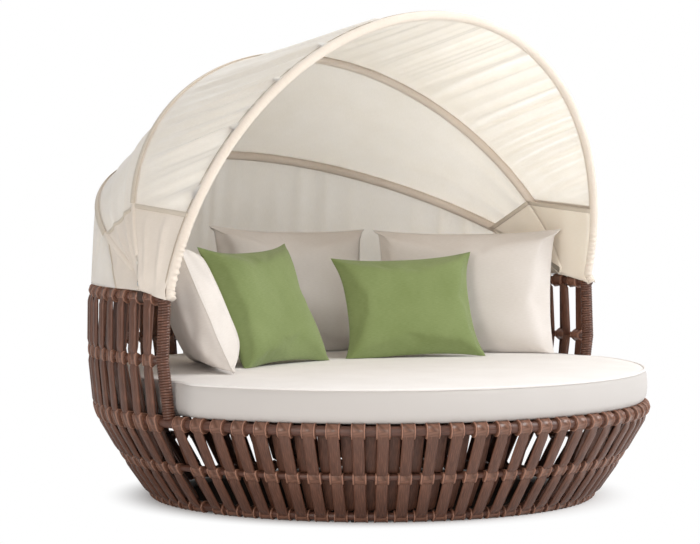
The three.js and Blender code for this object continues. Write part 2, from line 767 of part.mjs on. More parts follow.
// Cross-section of a hoop's tube: round, or pressed flat across X
function hoopSection(point, ahead, flat, narrow) {
  const across = new THREE.Vector3(1, 0, 0).addScaledVector(ahead, -ahead.x).normalize();
  const side = new THREE.Vector3().crossVectors(ahead, across).normalize();
  const [thin, tall] = [EYE_THICKNESS / 2, EYE_HALF_HEIGHT * narrow];
  const a = THREE.MathUtils.lerp(HOOP_TUBE_RADIUS, thin, flat);
  const b = THREE.MathUtils.lerp(HOOP_TUBE_RADIUS, tall, flat);
  const square = THREE.MathUtils.lerp(1, 0.5, flat);
  return count(TUBE_SIDES).map((i) => {
    const turn = (2 * Math.PI * (i + 0.5)) / TUBE_SIDES;
    const [c, s] = [Math.cos(turn), Math.sin(turn)];
    const u = a * Math.sign(c) * (flat ? 1 : Math.abs(c));
    const v = b * Math.sign(s) * Math.abs(s) ** square;
    return point.clone().addScaledVector(across, u).addScaledVector(side, v);
  });
}

// The section's frame keeps its across direction near X on the legs and turns over the arch
function archSection(shape, point, ahead) {
  const out = inPlane(shape, 0, 1).sub(inPlane(shape, 0, 0));
  const normal = new THREE.Vector3().crossVectors(new THREE.Vector3(1, 0, 0), out).normalize();
  const across = new THREE.Vector3().crossVectors(normal, ahead).normalize();
  return count(TUBE_SIDES).map((i) => {
    const turn = (2 * Math.PI * (i + 0.5)) / TUBE_SIDES;
    const u = HOOP_TUBE_RADIUS * Math.cos(turn);
    const v = HOOP_TUBE_RADIUS * Math.sin(turn);
    return point.clone().addScaledVector(across, u).addScaledVector(normal, v);
  });
}

function hoopGeometry(key) {
  const shape = hoopShapes[key];
  const leg = legStations(shape, key === "front");
  const arch = count(HOOP_STEPS + 1).map((i) => {
    return { point: onHoop(key, i / HOOP_STEPS), flat: 0, narrow: 1, arch: true };
  });
  const mirrored = leg.toReversed().map((station) => ({
    ...station,
    point: station.point.clone().multiply(new THREE.Vector3(-1, 1, 1)),
  }));
  const stations = [...leg, ...arch, ...mirrored];
  const sections = stations.map((station, i) => {
    const before = stations[Math.max(i - 1, 0)].point;
    const after = stations[Math.min(i + 1, stations.length - 1)].point;
    const ahead = after.clone().sub(before).normalize();
    if (station.arch) return archSection(shape, station.point, ahead);
    const right = i < stations.length / 2;
    const section = hoopSection(station.point, ahead, station.flat, station.narrow);
    return right ? section : legOnLeft(section);
  });
  const tube = skin(sections, false);
  const hole = BOLT_RADIUS + BOLT_HOLE_CLEARANCE;
  const drills = [1, -1].map((side) => {
    const from = shape.halfWidth - EYE_THICKNESS / 2 - CUT_OVERRUN;
    const drill = cylinderX(hole, from, from + EYE_THICKNESS + 2 * CUT_OVERRUN, 12);
    return drill.translate(side < 0 ? -2 * shape.halfWidth : 0, pivotY, pivotZ);
  });
  return cut(tube, drills);
}

// On the far leg the tube runs down, so its section is the near leg's turned half way round
function legOnLeft(section) {
  const half = section.length / 2;
  return [...section.slice(half), ...section.slice(0, half)];
}

function buildHoops() {
  for (const key of ["front", "mid", "rear"]) {
    place(`${key}_hoop`, hoopGeometry(key), "hoop");
  }
}

// Bracket hooked round the outside of the top rail, with an ear for the pivot bolt
function bracketGeometry() {
  const inner = topRail.tube + FIT_GAP;
  const outer = inner + BRACKET_THICKNESS;
  const hook = rad(BRACKET_HOOK_ANGLE);
  const earTop = PIVOT_RISE + BRACKET_EAR_MARGIN;
  const profile = new THREE.Shape();
  profile.moveTo(inner, earTop);
  profile.lineTo(inner, 0);
  profile.absarc(0, 0, inner, 0, -hook, true);
  profile.lineTo(outer * Math.cos(hook), -outer * Math.sin(hook));
  profile.absarc(0, 0, outer, -hook, 0, false);
  profile.lineTo(outer, earTop);
  const settings = { depth: BRACKET_WIDTH, bevelEnabled: false, curveSegments: 4 };
  const plate = new THREE.ExtrudeGeometry(profile, settings);
  plate.rotateX(Math.PI / 2).translate(topRail.radius, BRACKET_WIDTH / 2 + pivotY, topRail.height);
  const from = topRail.radius + inner - CUT_OVERRUN;
  const hole = cylinderX(BOLT_RADIUS + BOLT_HOLE_CLEARANCE, from, from + 2 * CUT_OVERRUN + BRACKET_THICKNESS, 12);
  return cut(plate, [hole.translate(0, pivotY, pivotZ)]);
}

// Bolt with its head outside the ear and its nut inside the rear hoop's eye
function boltGeometry() {
  const headAt = topRail.radius + topRail.tube + BRACKET_THICKNESS + 2 * FIT_GAP;
  const nutAt = eyeX.rear - EYE_THICKNESS / 2 - FIT_GAP;
  const sides = 12;
  const shank = cylinderX(BOLT_RADIUS, nutAt - BOLT_HEAD_HEIGHT / 2, headAt + BOLT_HEAD_HEIGHT / 2, sides);
  const head = cylinderX(BOLT_HEAD_RADIUS, headAt, headAt + BOLT_HEAD_HEIGHT, sides);
  const nut = cylinderX(BOLT_HEAD_RADIUS, nutAt - BOLT_HEAD_HEIGHT, nutAt, SLIM_TUBE_SIDES);
  return join([shank, head, nut]).translate(0, pivotY, pivotZ);
}

// Nylon spacer between the ear and the outermost eye
function spacerGeometry() {
  const from = eyeX.mid + EYE_THICKNESS / 2 + FIT_GAP;
  const to = topRail.radius + topRail.tube;
  const body = cylinderX(SPACER_RADIUS, from, to, 12);
  const bore = cylinderX(BOLT_RADIUS + BOLT_HOLE_CLEARANCE, from - CUT_OVERRUN, to + CUT_OVERRUN, 12);
  return cut(body, [bore]).translate(0, pivotY, pivotZ);
}

function mirrorX(geometry) {
  const flipped = geometry.clone().scale(-1, 1, 1);
  const index = flipped.index ? [...flipped.index.array] : count(flipped.attributes.position.count);
  flipped.setIndex(index.reverse());
  flipped.computeVertexNormals();
  return flipped;
}

function buildPivots() {
  const pieces = [
    ["pivot_bracket", bracketGeometry(), "hoop"],
    ["pivot_bolt", boltGeometry(), "bolt"],
    ["pivot_spacer", spacerGeometry(), "nylon"],
  ];
  for (const [name, geometry, finish] of pieces) {
    place(`right_${name}`, geometry, finish);
    place(`left_${name}`, mirrorX(geometry), finish);
  }
}

// A point on the centre line of a hoop's arch, from its start at +X over to -X
function onHoop(key, share) {
  const shape = hoopShapes[key];
  const clear = EYE_FLAT_LENGTH + EYE_BLEND_LENGTH + 2 * HOOP_TUBE_RADIUS;
  const start = turnAtRise(shape, key === "front" ? clear + FRONT_CRANK_BEND / 2 : clear);
  const turn = THREE.MathUtils.lerp(start, Math.PI - start, share);
  return inPlane(shape, ...hoopAt(shape, turn));
}

// The hem of the rear panel, just over the rail and behind the brackets
function overRail(share) {
  const from = pivotAngle + REAR_PANEL_LAG_ANGLE;
  const angle = THREE.MathUtils.lerp(from, 360 - from, share);
  const lift = wrapTop(topRail) * wrapCornerShare + FIT_GAP;
  return polar(angle, topRail.radius, topRail.height + lift);
}

// A sheet drawn taut from one edge to the other, touching the outer side of the tubes there, with
// soft folds, as a closed thin solid; each edge has its centre line and the offset of the cloth,
// and an inset keeps the first edge off its neighbour
function sheetGeometry(edgeA, edgeB, offsets, inset, fold) {
  const [na, ns] = [HOOP_STEPS, PANEL_STEPS_ACROSS];
  const centre = new THREE.Vector3(0, pivotY, pivotZ);
  const at = (i, j) => {
    const [a, b] = [edgeA(i / na), edgeB(i / na)];
    const way = b.clone().sub(a);
    const out = a.clone().sub(centre);
    out.addScaledVector(way, -out.dot(way) / way.lengthSq()).normalize();
    const share = THREE.MathUtils.lerp(inset / way.length(), 1, j / ns);
    const offset = THREE.MathUtils.lerp(...offsets, j / ns);
    const point = a.addScaledVector(way, share).addScaledVector(out, offset);
    return { point, bulge: fold(i / na, j / ns) };
  };
  const grid = count(na + 1).map((i) => count(ns + 1).map((j) => at(i, j)));
  const normalAt = (i, j) => {
    const [i0, i1] = [Math.max(i - 1, 0), Math.min(i + 1, na)];
    const [j0, j1] = [Math.max(j - 1, 0), Math.min(j + 1, ns)];
    const u = grid[i1][j].point.clone().sub(grid[i0][j].point);
    const v = grid[i][j1].point.clone().sub(grid[i][j0].point);
    const n = u.cross(v).normalize();
    return n.dot(grid[i][j].point.clone().sub(centre)) < 0 ? n.negate() : n;
  };
  const outer = [];
  const inner = [];
  grid.forEach((row, i) =>
    row.forEach(({ point, bulge }, j) => {
      const n = normalAt(i, j);
      outer.push(point.clone().addScaledVector(n, bulge + FABRIC_THICKNESS / 2));
      inner.push(point.clone().addScaledVector(n, bulge - FABRIC_THICKNESS / 2));
    }),
  );
  return closedSheet(outer, inner, na, ns);
}

function closedSheet(outer, inner, na, ns) {
  const id = (i, j) => i * (ns + 1) + j;
  const base = outer.length;
  const index = [];
  for (let i = 0; i < na; i += 1) {
    for (let j = 0; j < ns; j += 1) {
      const [a, b, c, d] = [id(i, j), id(i + 1, j), id(i + 1, j + 1), id(i, j + 1)];
      index.push(a, b, c, a, c, d, base + a, base + c, base + b, base + a, base + d, base + c);
    }
  }
  const rim = [
    ...count(na).map((i) => [id(i + 1, 0), id(i, 0)]),
    ...count(na).map((i) => [id(i, ns), id(i + 1, ns)]),
    ...count(ns).map((j) => [id(0, j), id(0, j + 1)]),
    ...count(ns).map((j) => [id(na, j + 1), id(na, j)]),
  ];
  for (const [a, b] of rim) index.push(a, b, base + b, a, base + b, base + a);
  return surface([...outer, ...inner], index);
}

function buildCanopy() {
  const slack = (s) => Math.sin(Math.PI * s) ** 2;
  const diagonal = (t, s) => -FOLD_DEPTH_FRONT * slack(s) * Math.sin(2 * Math.PI * (4 * t + s)) ** 2;
  const smooth = (t, s) => -FOLD_DEPTH_MID * slack(s) * (1 + Math.sin(2 * Math.PI * 3 * t)) * 0.5;
  const hanging = (t, s) => FOLD_DEPTH_REAR * slack(s) * Math.sin(2 * Math.PI * 7 * t) * slack(t);
  const hoop = (key) => (share) => onHoop(key, share);
  const over = HOOP_TUBE_RADIUS + SLEEVE_GAP + FABRIC_THICKNESS / 2;
  const panels = [
    ["canopy_front_panel", sheetGeometry(hoop("front"), hoop("mid"), [over, over], 0, diagonal)],
    ["canopy_mid_panel", sheetGeometry(hoop("mid"), hoop("rear"), [over, over], 0, smooth)],
    [
      "canopy_rear_panel",
      sheetGeometry(hoop("rear"), overRail, [over, 0], REAR_PANEL_INSET, hanging),
    ],
  ];
  for (const [name, geometry] of panels) place(name, geometry, "canopy");
}

// The origin lies on the floor under the middle of the whole daybed
function centreOnFloor() {
  daybed.updateMatrixWorld(true);
  const box = new THREE.Box3().setFromObject(daybed, true);
  shapes.position.set(-(box.min.x + box.max.x) / 2, -(box.min.y + box.max.y) / 2, -box.min.z);
}

buildRings();
buildPosts();
buildLacing();
buildFeet();
buildDeck();
buildCushions(buildMattress());
buildHoops();
buildPivots();
buildCanopy();
centreOnFloor();

export default daybed;
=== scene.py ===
"""Dresses the round outdoor daybed: laced resin cane, canopy cloth, mattress and loose cushions."""

from __future__ import annotations

import json
import logging
import math
from dataclasses import dataclass
from enum import Enum
from typing import Callable, NamedTuple, Sequence

import bmesh
import bpy
import numpy as np
from mathutils import Matrix, Vector, noise

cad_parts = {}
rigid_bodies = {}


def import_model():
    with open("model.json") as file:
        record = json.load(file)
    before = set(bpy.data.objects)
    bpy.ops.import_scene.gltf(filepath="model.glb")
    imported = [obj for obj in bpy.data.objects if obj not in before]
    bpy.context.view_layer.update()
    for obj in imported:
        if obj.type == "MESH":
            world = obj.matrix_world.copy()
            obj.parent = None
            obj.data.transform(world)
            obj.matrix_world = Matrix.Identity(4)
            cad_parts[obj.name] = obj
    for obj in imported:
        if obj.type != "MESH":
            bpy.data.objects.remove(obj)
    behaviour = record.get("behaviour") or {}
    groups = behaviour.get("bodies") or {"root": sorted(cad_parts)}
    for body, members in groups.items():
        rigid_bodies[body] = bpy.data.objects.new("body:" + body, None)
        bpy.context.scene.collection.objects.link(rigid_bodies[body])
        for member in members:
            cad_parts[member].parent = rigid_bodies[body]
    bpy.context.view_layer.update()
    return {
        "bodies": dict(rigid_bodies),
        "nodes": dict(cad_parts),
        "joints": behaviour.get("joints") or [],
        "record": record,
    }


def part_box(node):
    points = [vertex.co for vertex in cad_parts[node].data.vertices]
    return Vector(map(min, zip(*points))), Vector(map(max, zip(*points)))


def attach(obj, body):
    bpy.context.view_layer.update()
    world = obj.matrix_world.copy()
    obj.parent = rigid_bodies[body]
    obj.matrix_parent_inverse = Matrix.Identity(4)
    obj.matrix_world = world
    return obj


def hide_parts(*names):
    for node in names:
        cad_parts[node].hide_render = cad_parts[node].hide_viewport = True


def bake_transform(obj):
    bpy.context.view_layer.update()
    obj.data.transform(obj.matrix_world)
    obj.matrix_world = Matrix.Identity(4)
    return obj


LOG = logging.getLogger("daybed")
FULL_TURN = 2 * math.pi

Point = tuple[float, float, float]
Array = np.ndarray
Object = bpy.types.Object
Material = bpy.types.Material
Socket = bpy.types.NodeSocket


def linear(hex_colour: str) -> tuple[float, float, float, float]:
    """Turns an sRGB hex colour into linear RGBA.

    Args:
        hex_colour: six hex digits with a leading hash.

    Returns:
        Red, green and blue in linear light, and an alpha of one.
    """
    parts = [int(hex_colour[i : i + 2], 16) / 255 for i in (1, 3, 5)]
    lit = [p / 12.92 if p <= 0.04045 else ((p + 0.055) / 1.055) ** 2.4 for p in parts]
    return (lit[0], lit[1], lit[2], 1.0)


def add_node(tree: bpy.types.NodeTree, kind: str, inputs: dict | None = None, **settings) -> bpy.types.Node:
    """Adds a node with its settings and links.

    Args:
        tree: the node tree.
        kind: the node's type name.
        inputs: a value or another node's output socket for each input, by name or number.
        **settings: the node's own properties.

    Returns:
        The new node.
    """
    node = tree.nodes.new(kind)
    for key, value in settings.items():
        setattr(node, key, value)
    for key, value in (inputs or {}).items():
        if isinstance(value, Socket):
            tree.links.new(value, node.inputs[key])
        else:
            node.inputs[key].default_value = value
    return node


def add_object(name: str, data: bpy.types.ID) -> Object:
    """Links a new object with the given data to the scene."""
    made = bpy.data.objects.new(name, data)
    bpy.context.scene.collection.objects.link(made)
    return made


def smoothstep(low: float, high: float, value: float) -> float:
    """Rises smoothly from 0 at low to 1 at high."""
    share = min(1.0, max(0.0, (value - low) / (high - low)))
    return share * share * (3 - 2 * share)


def make_piece(
    name: str,
    points: Sequence,
    faces: Sequence[Sequence[int]],
    material: Material,
    uvs: Sequence[tuple[float, float]] | None = None,
) -> Object:
    """Makes a smooth-shaded mesh object at the origin.

    Args:
        name: the piece's name.
        points: vertex positions in metres.
        faces: vertex numbers of each face.
        material: the finish.
        uvs: one map position per vertex, in metres of cloth or cane.

    Returns:
        The new object, linked to the scene.
    """
    mesh = bpy.data.meshes.new(name)
    mesh.from_pydata([tuple(p) for p in points], [], [tuple(f) for f in faces])
    if uvs is not None:
        layer = mesh.uv_layers.new(name="UVMap")
        corners = np.zeros(len(mesh.loops), np.int32)
        mesh.loops.foreach_get("vertex_index", corners)
        layer.data.foreach_set("uv", np.asarray(uvs, np.float32)[corners].ravel())
    mesh.polygons.foreach_set("use_smooth", [True] * len(mesh.polygons))
    mesh.materials.append(material)
    mesh.update()
    return add_object(name, mesh)


def face_out(piece: Object, merge: float = 0.0) -> Object:
    """Merges doubles and turns a closed piece's faces outwards.

    Args:
        piece: the mesh object.
        merge: distance within which vertices merge, in metres.

    Returns:
        The same object.
    """
    shape = bmesh.new()
    shape.from_mesh(piece.data)
    if merge:
        bmesh.ops.remove_doubles(shape, verts=shape.verts, dist=merge)
    bmesh.ops.recalc_face_normals(shape, faces=shape.faces)
    shape.to_mesh(piece.data)
    shape.free()
    return piece


def skin(rings: Sequence[Sequence], closed: bool = False, caps: bool = True) -> tuple[list, list]:
    """Joins closed cross-sections of equal count into a skin.

    Args:
        rings: the cross-sections in order.
        closed: whether the last joins the first.
        caps: whether open ends get a face.

    Returns:
        Points and faces.
    """
    size = len(rings[0])
    points = [p for ring in rings for p in ring]
    faces: list = []
    for i in range(len(rings) if closed else len(rings) - 1):
        here, there = i * size, ((i + 1) % len(rings)) * size
        for j in range(size):
            k = (j + 1) % size
            faces.append((here + j, here + k, there + k, there + j))
    if caps and not closed:
        last = (len(rings) - 1) * size
        faces.append(tuple(reversed(range(size))))
        faces.append(tuple(last + j for j in range(size)))
    return points, faces


def make_skin(
    name: str,
    rings: Sequence[Sequence],
    material: Material,
    uvs: list | None = None,
    closed: bool = False,
) -> Object:
    """Makes a closed piece from its cross-sections.

    Args:
        name: the piece's name.
        rings: the cross-sections in order.
        material: the finish.
        uvs: one map position per point.
        closed: whether the last cross-section joins the first.

    Returns:
        The piece, its faces turned outwards.
    """
    points, faces = skin(rings, closed)
    return face_out(make_piece(name, points, faces, material, uvs))


def tube_rings(path: Sequence[Vector], radius: float, sides: int, closed: bool = False) -> list:
    """Cross-sections of a round tube along a path.

    Args:
        path: the centre line.
        radius: the tube's radius.
        sides: points round it.
        closed: whether the path is a loop.

    Returns:
        One list of points for each path point.
    """
    count = len(path)
    turns = [FULL_TURN * k / sides for k in range(sides)]
    rings = []
    side = None
    for i, point in enumerate(path):
        before = path[i - 1] if i or closed else point
        after = path[(i + 1) % count] if i < count - 1 or closed else point
        ahead = (after - before).normalized()
        if side is None:
            side = ahead.orthogonal().normalized()
        side = (side - ahead * side.dot(ahead)).normalized()
        up = ahead.cross(side)
        rings.append([point + radius * (side * math.cos(t) + up * math.sin(t)) for t in turns])
    return rings


def bake_modifiers(source: Object) -> Object:
    """Turns an object with modifiers into a plain mesh object of the same name."""
    graph = bpy.context.evaluated_depsgraph_get()
    mesh = bpy.data.meshes.new_from_object(source.evaluated_get(graph))
    name = source.name
    bpy.data.objects.remove(source)
    made = add_object(name, mesh)
    mesh.name = name
    return made


def round_off(piece: Object) -> Object:
    """Subdivides a piece once, so that its facets are round."""
    finish = piece.modifiers.new("finish", "SUBSURF")
    finish.levels = finish.render_levels = 1
    return bake_modifiers(piece)


def join_meshes(name: str, pieces: Sequence[Object]) -> Object:
    """Joins finished pieces of one material into one object.

    Args:
        name: the joined piece's name.
        pieces: the objects, which are removed.

    Returns:
        The joined object.
    """
    shape = bmesh.new()
    material = pieces[0].data.materials[0]
    for piece in pieces:
        shape.from_mesh(piece.data)
        bpy.data.objects.remove(piece)
    mesh = bpy.data.meshes.new(name)
    shape.to_mesh(mesh)
    shape.free()
    mesh.materials.append(material)
    mesh.polygons.foreach_set("use_smooth", [True] * len(mesh.polygons))
    return add_object(name, mesh)


class ClothUse(Enum):
    """What a cloth is used for: the spacing of its drawn threads, and how strongly they show."""

    CANOPY = (0.0022, 0.10)
    SEAT = (0.0026, 0.22)
    PILLOW = (0.0024, 0.30)


class Recipe:
    """A material while it is made, with the few kinds of node that every finish here needs."""

    def __init__(self, name: str) -> None:
        """Starts a material."""
        self.made = bpy.data.materials.new(name)
        self.made.use_nodes = True
        self.tree = self.made.node_tree
        self.place = add_node(self.tree, "ShaderNodeTexCoord").outputs

    def along(self, axis: str) -> Socket:
        """One axis of the piece's own map, whose units are metres."""
        return add_node(self.tree, "ShaderNodeSeparateXYZ", {0: self.place["UV"]}).outputs[axis]

    def math(self, operation: str, *values: Socket | float) -> Socket:
        """The result of a calculation with numbers or sockets."""
        inputs = dict(enumerate(values))
        return add_node(self.tree, "ShaderNodeMath", inputs, operation=operation).outputs[0]

    def waves(self, axis: str, spacing: float) -> Socket:
        """Even ridges across one axis of the map."""
        return self.math("SINE", self.math("MULTIPLY", self.along(axis), FULL_TURN / spacing))

    def noise(self, scale: float, detail: float) -> Socket:
        """Noise through the piece's own space."""
        inputs = {"Vector": self.place["Object"], "Scale": scale, "Detail": detail}
        return add_node(self.tree, "ShaderNodeTexNoise", inputs).outputs["Fac"]

    def streaks(self, stretch: Point, detail: float) -> Socket:
        """Noise on the map, with so many spots a metre along each axis."""
        place = add_node(self.tree, "ShaderNodeMapping", {"Vector": self.place["UV"], "Scale": stretch})
        inputs = {"Vector": place.outputs[0], "Scale": 1.0, "Detail": detail}
        return add_node(self.tree, "ShaderNodeTexNoise", inputs).outputs["Fac"]

    def between(self, value: Socket, low: float, high: float, top: float = 1.0) -> Socket:
        """A value's place from low to high, as a share of top."""
        inputs = {"Value": value, "From Min": low, "From Max": high, "To Max": top}
        return add_node(self.tree, "ShaderNodeMapRange", inputs).outputs[0]

    def mix(self, share: Socket, first: Socket | str, second: Socket | str) -> Socket:
        """A colour between two, each a socket or a hex colour."""
        low, high = (linear(side) if isinstance(side, str) else side for side in (first, second))
        inputs = {0: share, 6: low, 7: high}
        return add_node(self.tree, "ShaderNodeMix", inputs, data_type="RGBA").outputs[2]

    def finish(self, colour: Socket, height: Socket, bump: tuple[float, float], values: dict) -> Material:
        """Completes the material.

        Args:
            colour: its colour.
            height: the relief of its surface.
            bump: the relief's strength and height in metres.
            values: the shader's other inputs by name.

        Returns:
            The material.
        """
        shader = self.tree.nodes["Principled BSDF"]
        inputs = {"Height": height, "Strength": bump[0], "Distance": bump[1]}
        relief = add_node(self.tree, "ShaderNodeBump", inputs)
        self.tree.links.new(colour, shader.inputs["Base Color"])
        self.tree.links.new(relief.outputs[0], shader.inputs["Normal"])
        for name, value in values.items():
            shader.inputs[name].default_value = value
        return self.made


@dataclass(frozen=True)
class ResinCane:
    """Flat resin cane, extruded polyethylene: satin, finely grooved along its length.

    Its edges are painted lighter as painted highlight, and each length is a little lighter or darker than the
    next.
    """

    name: str = "resin_cane_extruded"
    body: str = "#64402F"
    pale: str = "#8C5F4B"
    dark: str = "#41271D"
    groove: float = 0.0023
    roughness: float = 0.42
    # How strongly the edges are painted lighter, as painted highlight
    edge_highlight: float = 0.35

    def material(self) -> Material:
        """Builds the material; the map's X is the distance from the cane's middle line."""
        recipe = Recipe(self.name)
        # The real grooves are finer, too fine to show
        grooves = recipe.waves("X", self.groove)
        shade = recipe.mix(recipe.noise(16.0, 2.0), self.dark, self.body)
        worn = recipe.between(recipe.streaks((420.0, 26.0, 1.0), 3.0), 0.45, 0.85)
        # Painted highlight: the cane's edges are painted lighter
        rim = recipe.between(recipe.math("ABSOLUTE", recipe.along("X")), 0.0135, 0.0175, self.edge_highlight)
        colour = recipe.mix(recipe.math("MAXIMUM", worn, rim), shade, self.pale)
        return recipe.finish(colour, grooves, (0.35, 0.00025), {"Roughness": self.roughness, "IOR": 1.5})


@dataclass(frozen=True)
class WovenCloth:
    """Solution-dyed outdoor cloth, plain woven: matt, with a fine crossing of threads and faint slubs."""

    PAINTED_SIDE_SHADE = "side_panel"

    name: str
    body: str
    slub: str
    use: ClothUse = ClothUse.SEAT
    roughness: float = 0.92
    sheen: float = 0.15
    # Colour of painted shade for the part of the piece that the attribute marks, or empty
    side: str = ""
    glow: float = 0.0

    def material(self) -> Material:
        """Builds the material from the piece's own map."""
        spacing, depth = self.use.value
        recipe = Recipe(self.name)
        # Threads are 0.5 mm apart on the real cloth, and drawn coarser so that they show
        weave = recipe.math("MULTIPLY", recipe.waves("X", spacing), recipe.waves("Y", spacing))
        slubs = recipe.streaks((60.0, 520.0, 1.0), 4.0)
        cloudy = recipe.math("ADD", slubs, recipe.noise(7.0, 3.0))
        colour = recipe.mix(recipe.between(cloudy, 0.7, 1.3), self.slub, self.body)
        # Painted shade: the side colour darkens the part of the piece that the attribute marks
        if self.side:
            panel = add_node(recipe.tree, "ShaderNodeAttribute", attribute_name=self.PAINTED_SIDE_SHADE)
            colour = recipe.mix(panel.outputs["Fac"], colour, self.side)
        # Daylight comes through a single layer of this cloth, which the subsurface stands for
        surface = {
            "Roughness": self.roughness,
            "Sheen Weight": self.sheen,
            "Sheen Roughness": 0.5,
            "Subsurface Weight": self.glow,
            "Subsurface Radius": (1.0, 0.94, 0.84),
            "Subsurface Scale": 0.011,
        }
        return recipe.finish(colour, recipe.math("ADD", weave, slubs), (depth, 0.0004), surface)


@dataclass(frozen=True)
class MouldedOrPainted:
    """A plain hard finish: powder coat, moulded rubber or nylon, or turned stainless steel.

    Powder coat is faintly pebbled, a moulding is smooth, and turned steel has a fine grain.
    """

    name: str
    body: str
    worn: str
    metallic: float = 0.0
    roughness: float = 0.5
    grain: float = 0.0012
    depth: float = 0.15

    def material(self) -> Material:
        """Builds the material from Object coordinates."""
        recipe = Recipe(self.name)
        worn = recipe.between(recipe.noise(30.0, 4.0), 0.4, 0.75)
        colour = recipe.mix(worn, self.body, self.worn)
        surface = {"Metallic": self.metallic, "Roughness": self.roughness}
        return recipe.finish(colour, recipe.noise(1 / self.grain, 2.0), (self.depth, 0.0003), surface)


class Palette:
    """Every material of the daybed, made once."""

    def __init__(self) -> None:
        """Makes each finish's material."""
        self.cane = ResinCane().material()
        # The binding's rolled edges get a strong painted highlight
        self.binding = ResinCane(
            "resin_cane_binding", "#65412F", "#AC7C66", "#432A1F", roughness=0.34, edge_highlight=0.85
        ).material()
        self.winding = ResinCane("resin_cane_winding", "#5F3C2D", roughness=0.27, edge_highlight=0.5).material()
        self.tube = ResinCane("resin_coated_tube", "#5E3B2E", "#7A5040", "#40261C", roughness=0.38).material()
        self.steel = MouldedOrPainted("powder_coat_brown", "#3B2A22", "#4A372D", 0.3, 0.5).material()
        self.rubber = MouldedOrPainted("moulded_rubber", "#1C1A19", "#2A2725", 0.0, 0.8).material()
        self.hoop = MouldedOrPainted("powder_coat_cream", "#D9D3C8", "#E6E1D8", 0.2, 0.4).material()
        self.bolt = MouldedOrPainted(
            "turned_stainless", "#B9BBBD", "#D2D4D6", metallic=1.0, roughness=0.28, grain=0.0006, depth=0.1
        ).material()
        self.nylon = MouldedOrPainted("moulded_nylon", "#2B2B2C", "#3A3A3B", 0.0, 0.55).material()
        canopy = ClothUse.CANOPY
        self.canopy = WovenCloth("canopy_cloth", "#ECE1D4", "#E4D8C9", canopy, glow=0.8).material()
        self.sleeve = WovenCloth("canopy_sleeve_cloth", "#E6DBCF", "#DDD1C3", canopy, glow=0.15).material()
        self.patch = WovenCloth("canopy_patch_cloth", "#E8DDD1", "#DFD3C5", canopy, glow=0.12).material()
        # Painted light: the inner lining's colour is lighter than the canopy cloth's, standing in for light
        # that reaches it
        self.lining = WovenCloth("canopy_lining_cloth", "#FFF6E6", "#FBEEDB", canopy, glow=0.2).material()
        self.seam = WovenCloth("canopy_seam_tape", "#D6CABA", "#CCBFAE", canopy, glow=0.15).material()
        # Painted shade: darker cloth laid where the front sleeve's seam groove lies in shade
        self.groove_shade = WovenCloth("canopy_stitched_groove", "#C2B6A6", "#B7AA99", canopy).material()
        # The mattress's side panel is painted darker with the side colour, as painted shade
        self.seat = WovenCloth("mattress_cloth", "#ECE8E5", "#E4DFDB", side="#C5C0BC").material()
        self.cushion = WovenCloth("cushion_cloth", "#E2DCD7", "#D9D2CB").material()
        self.green = WovenCloth("pillow_cloth_green", "#84935F", "#74834D", ClothUse.PILLOW).material()


class Run(NamedTuple):
    """Copies round the daybed: their number, the first one's angle and their pitch, in degrees."""

    count: int
    first: float
    pitch: float


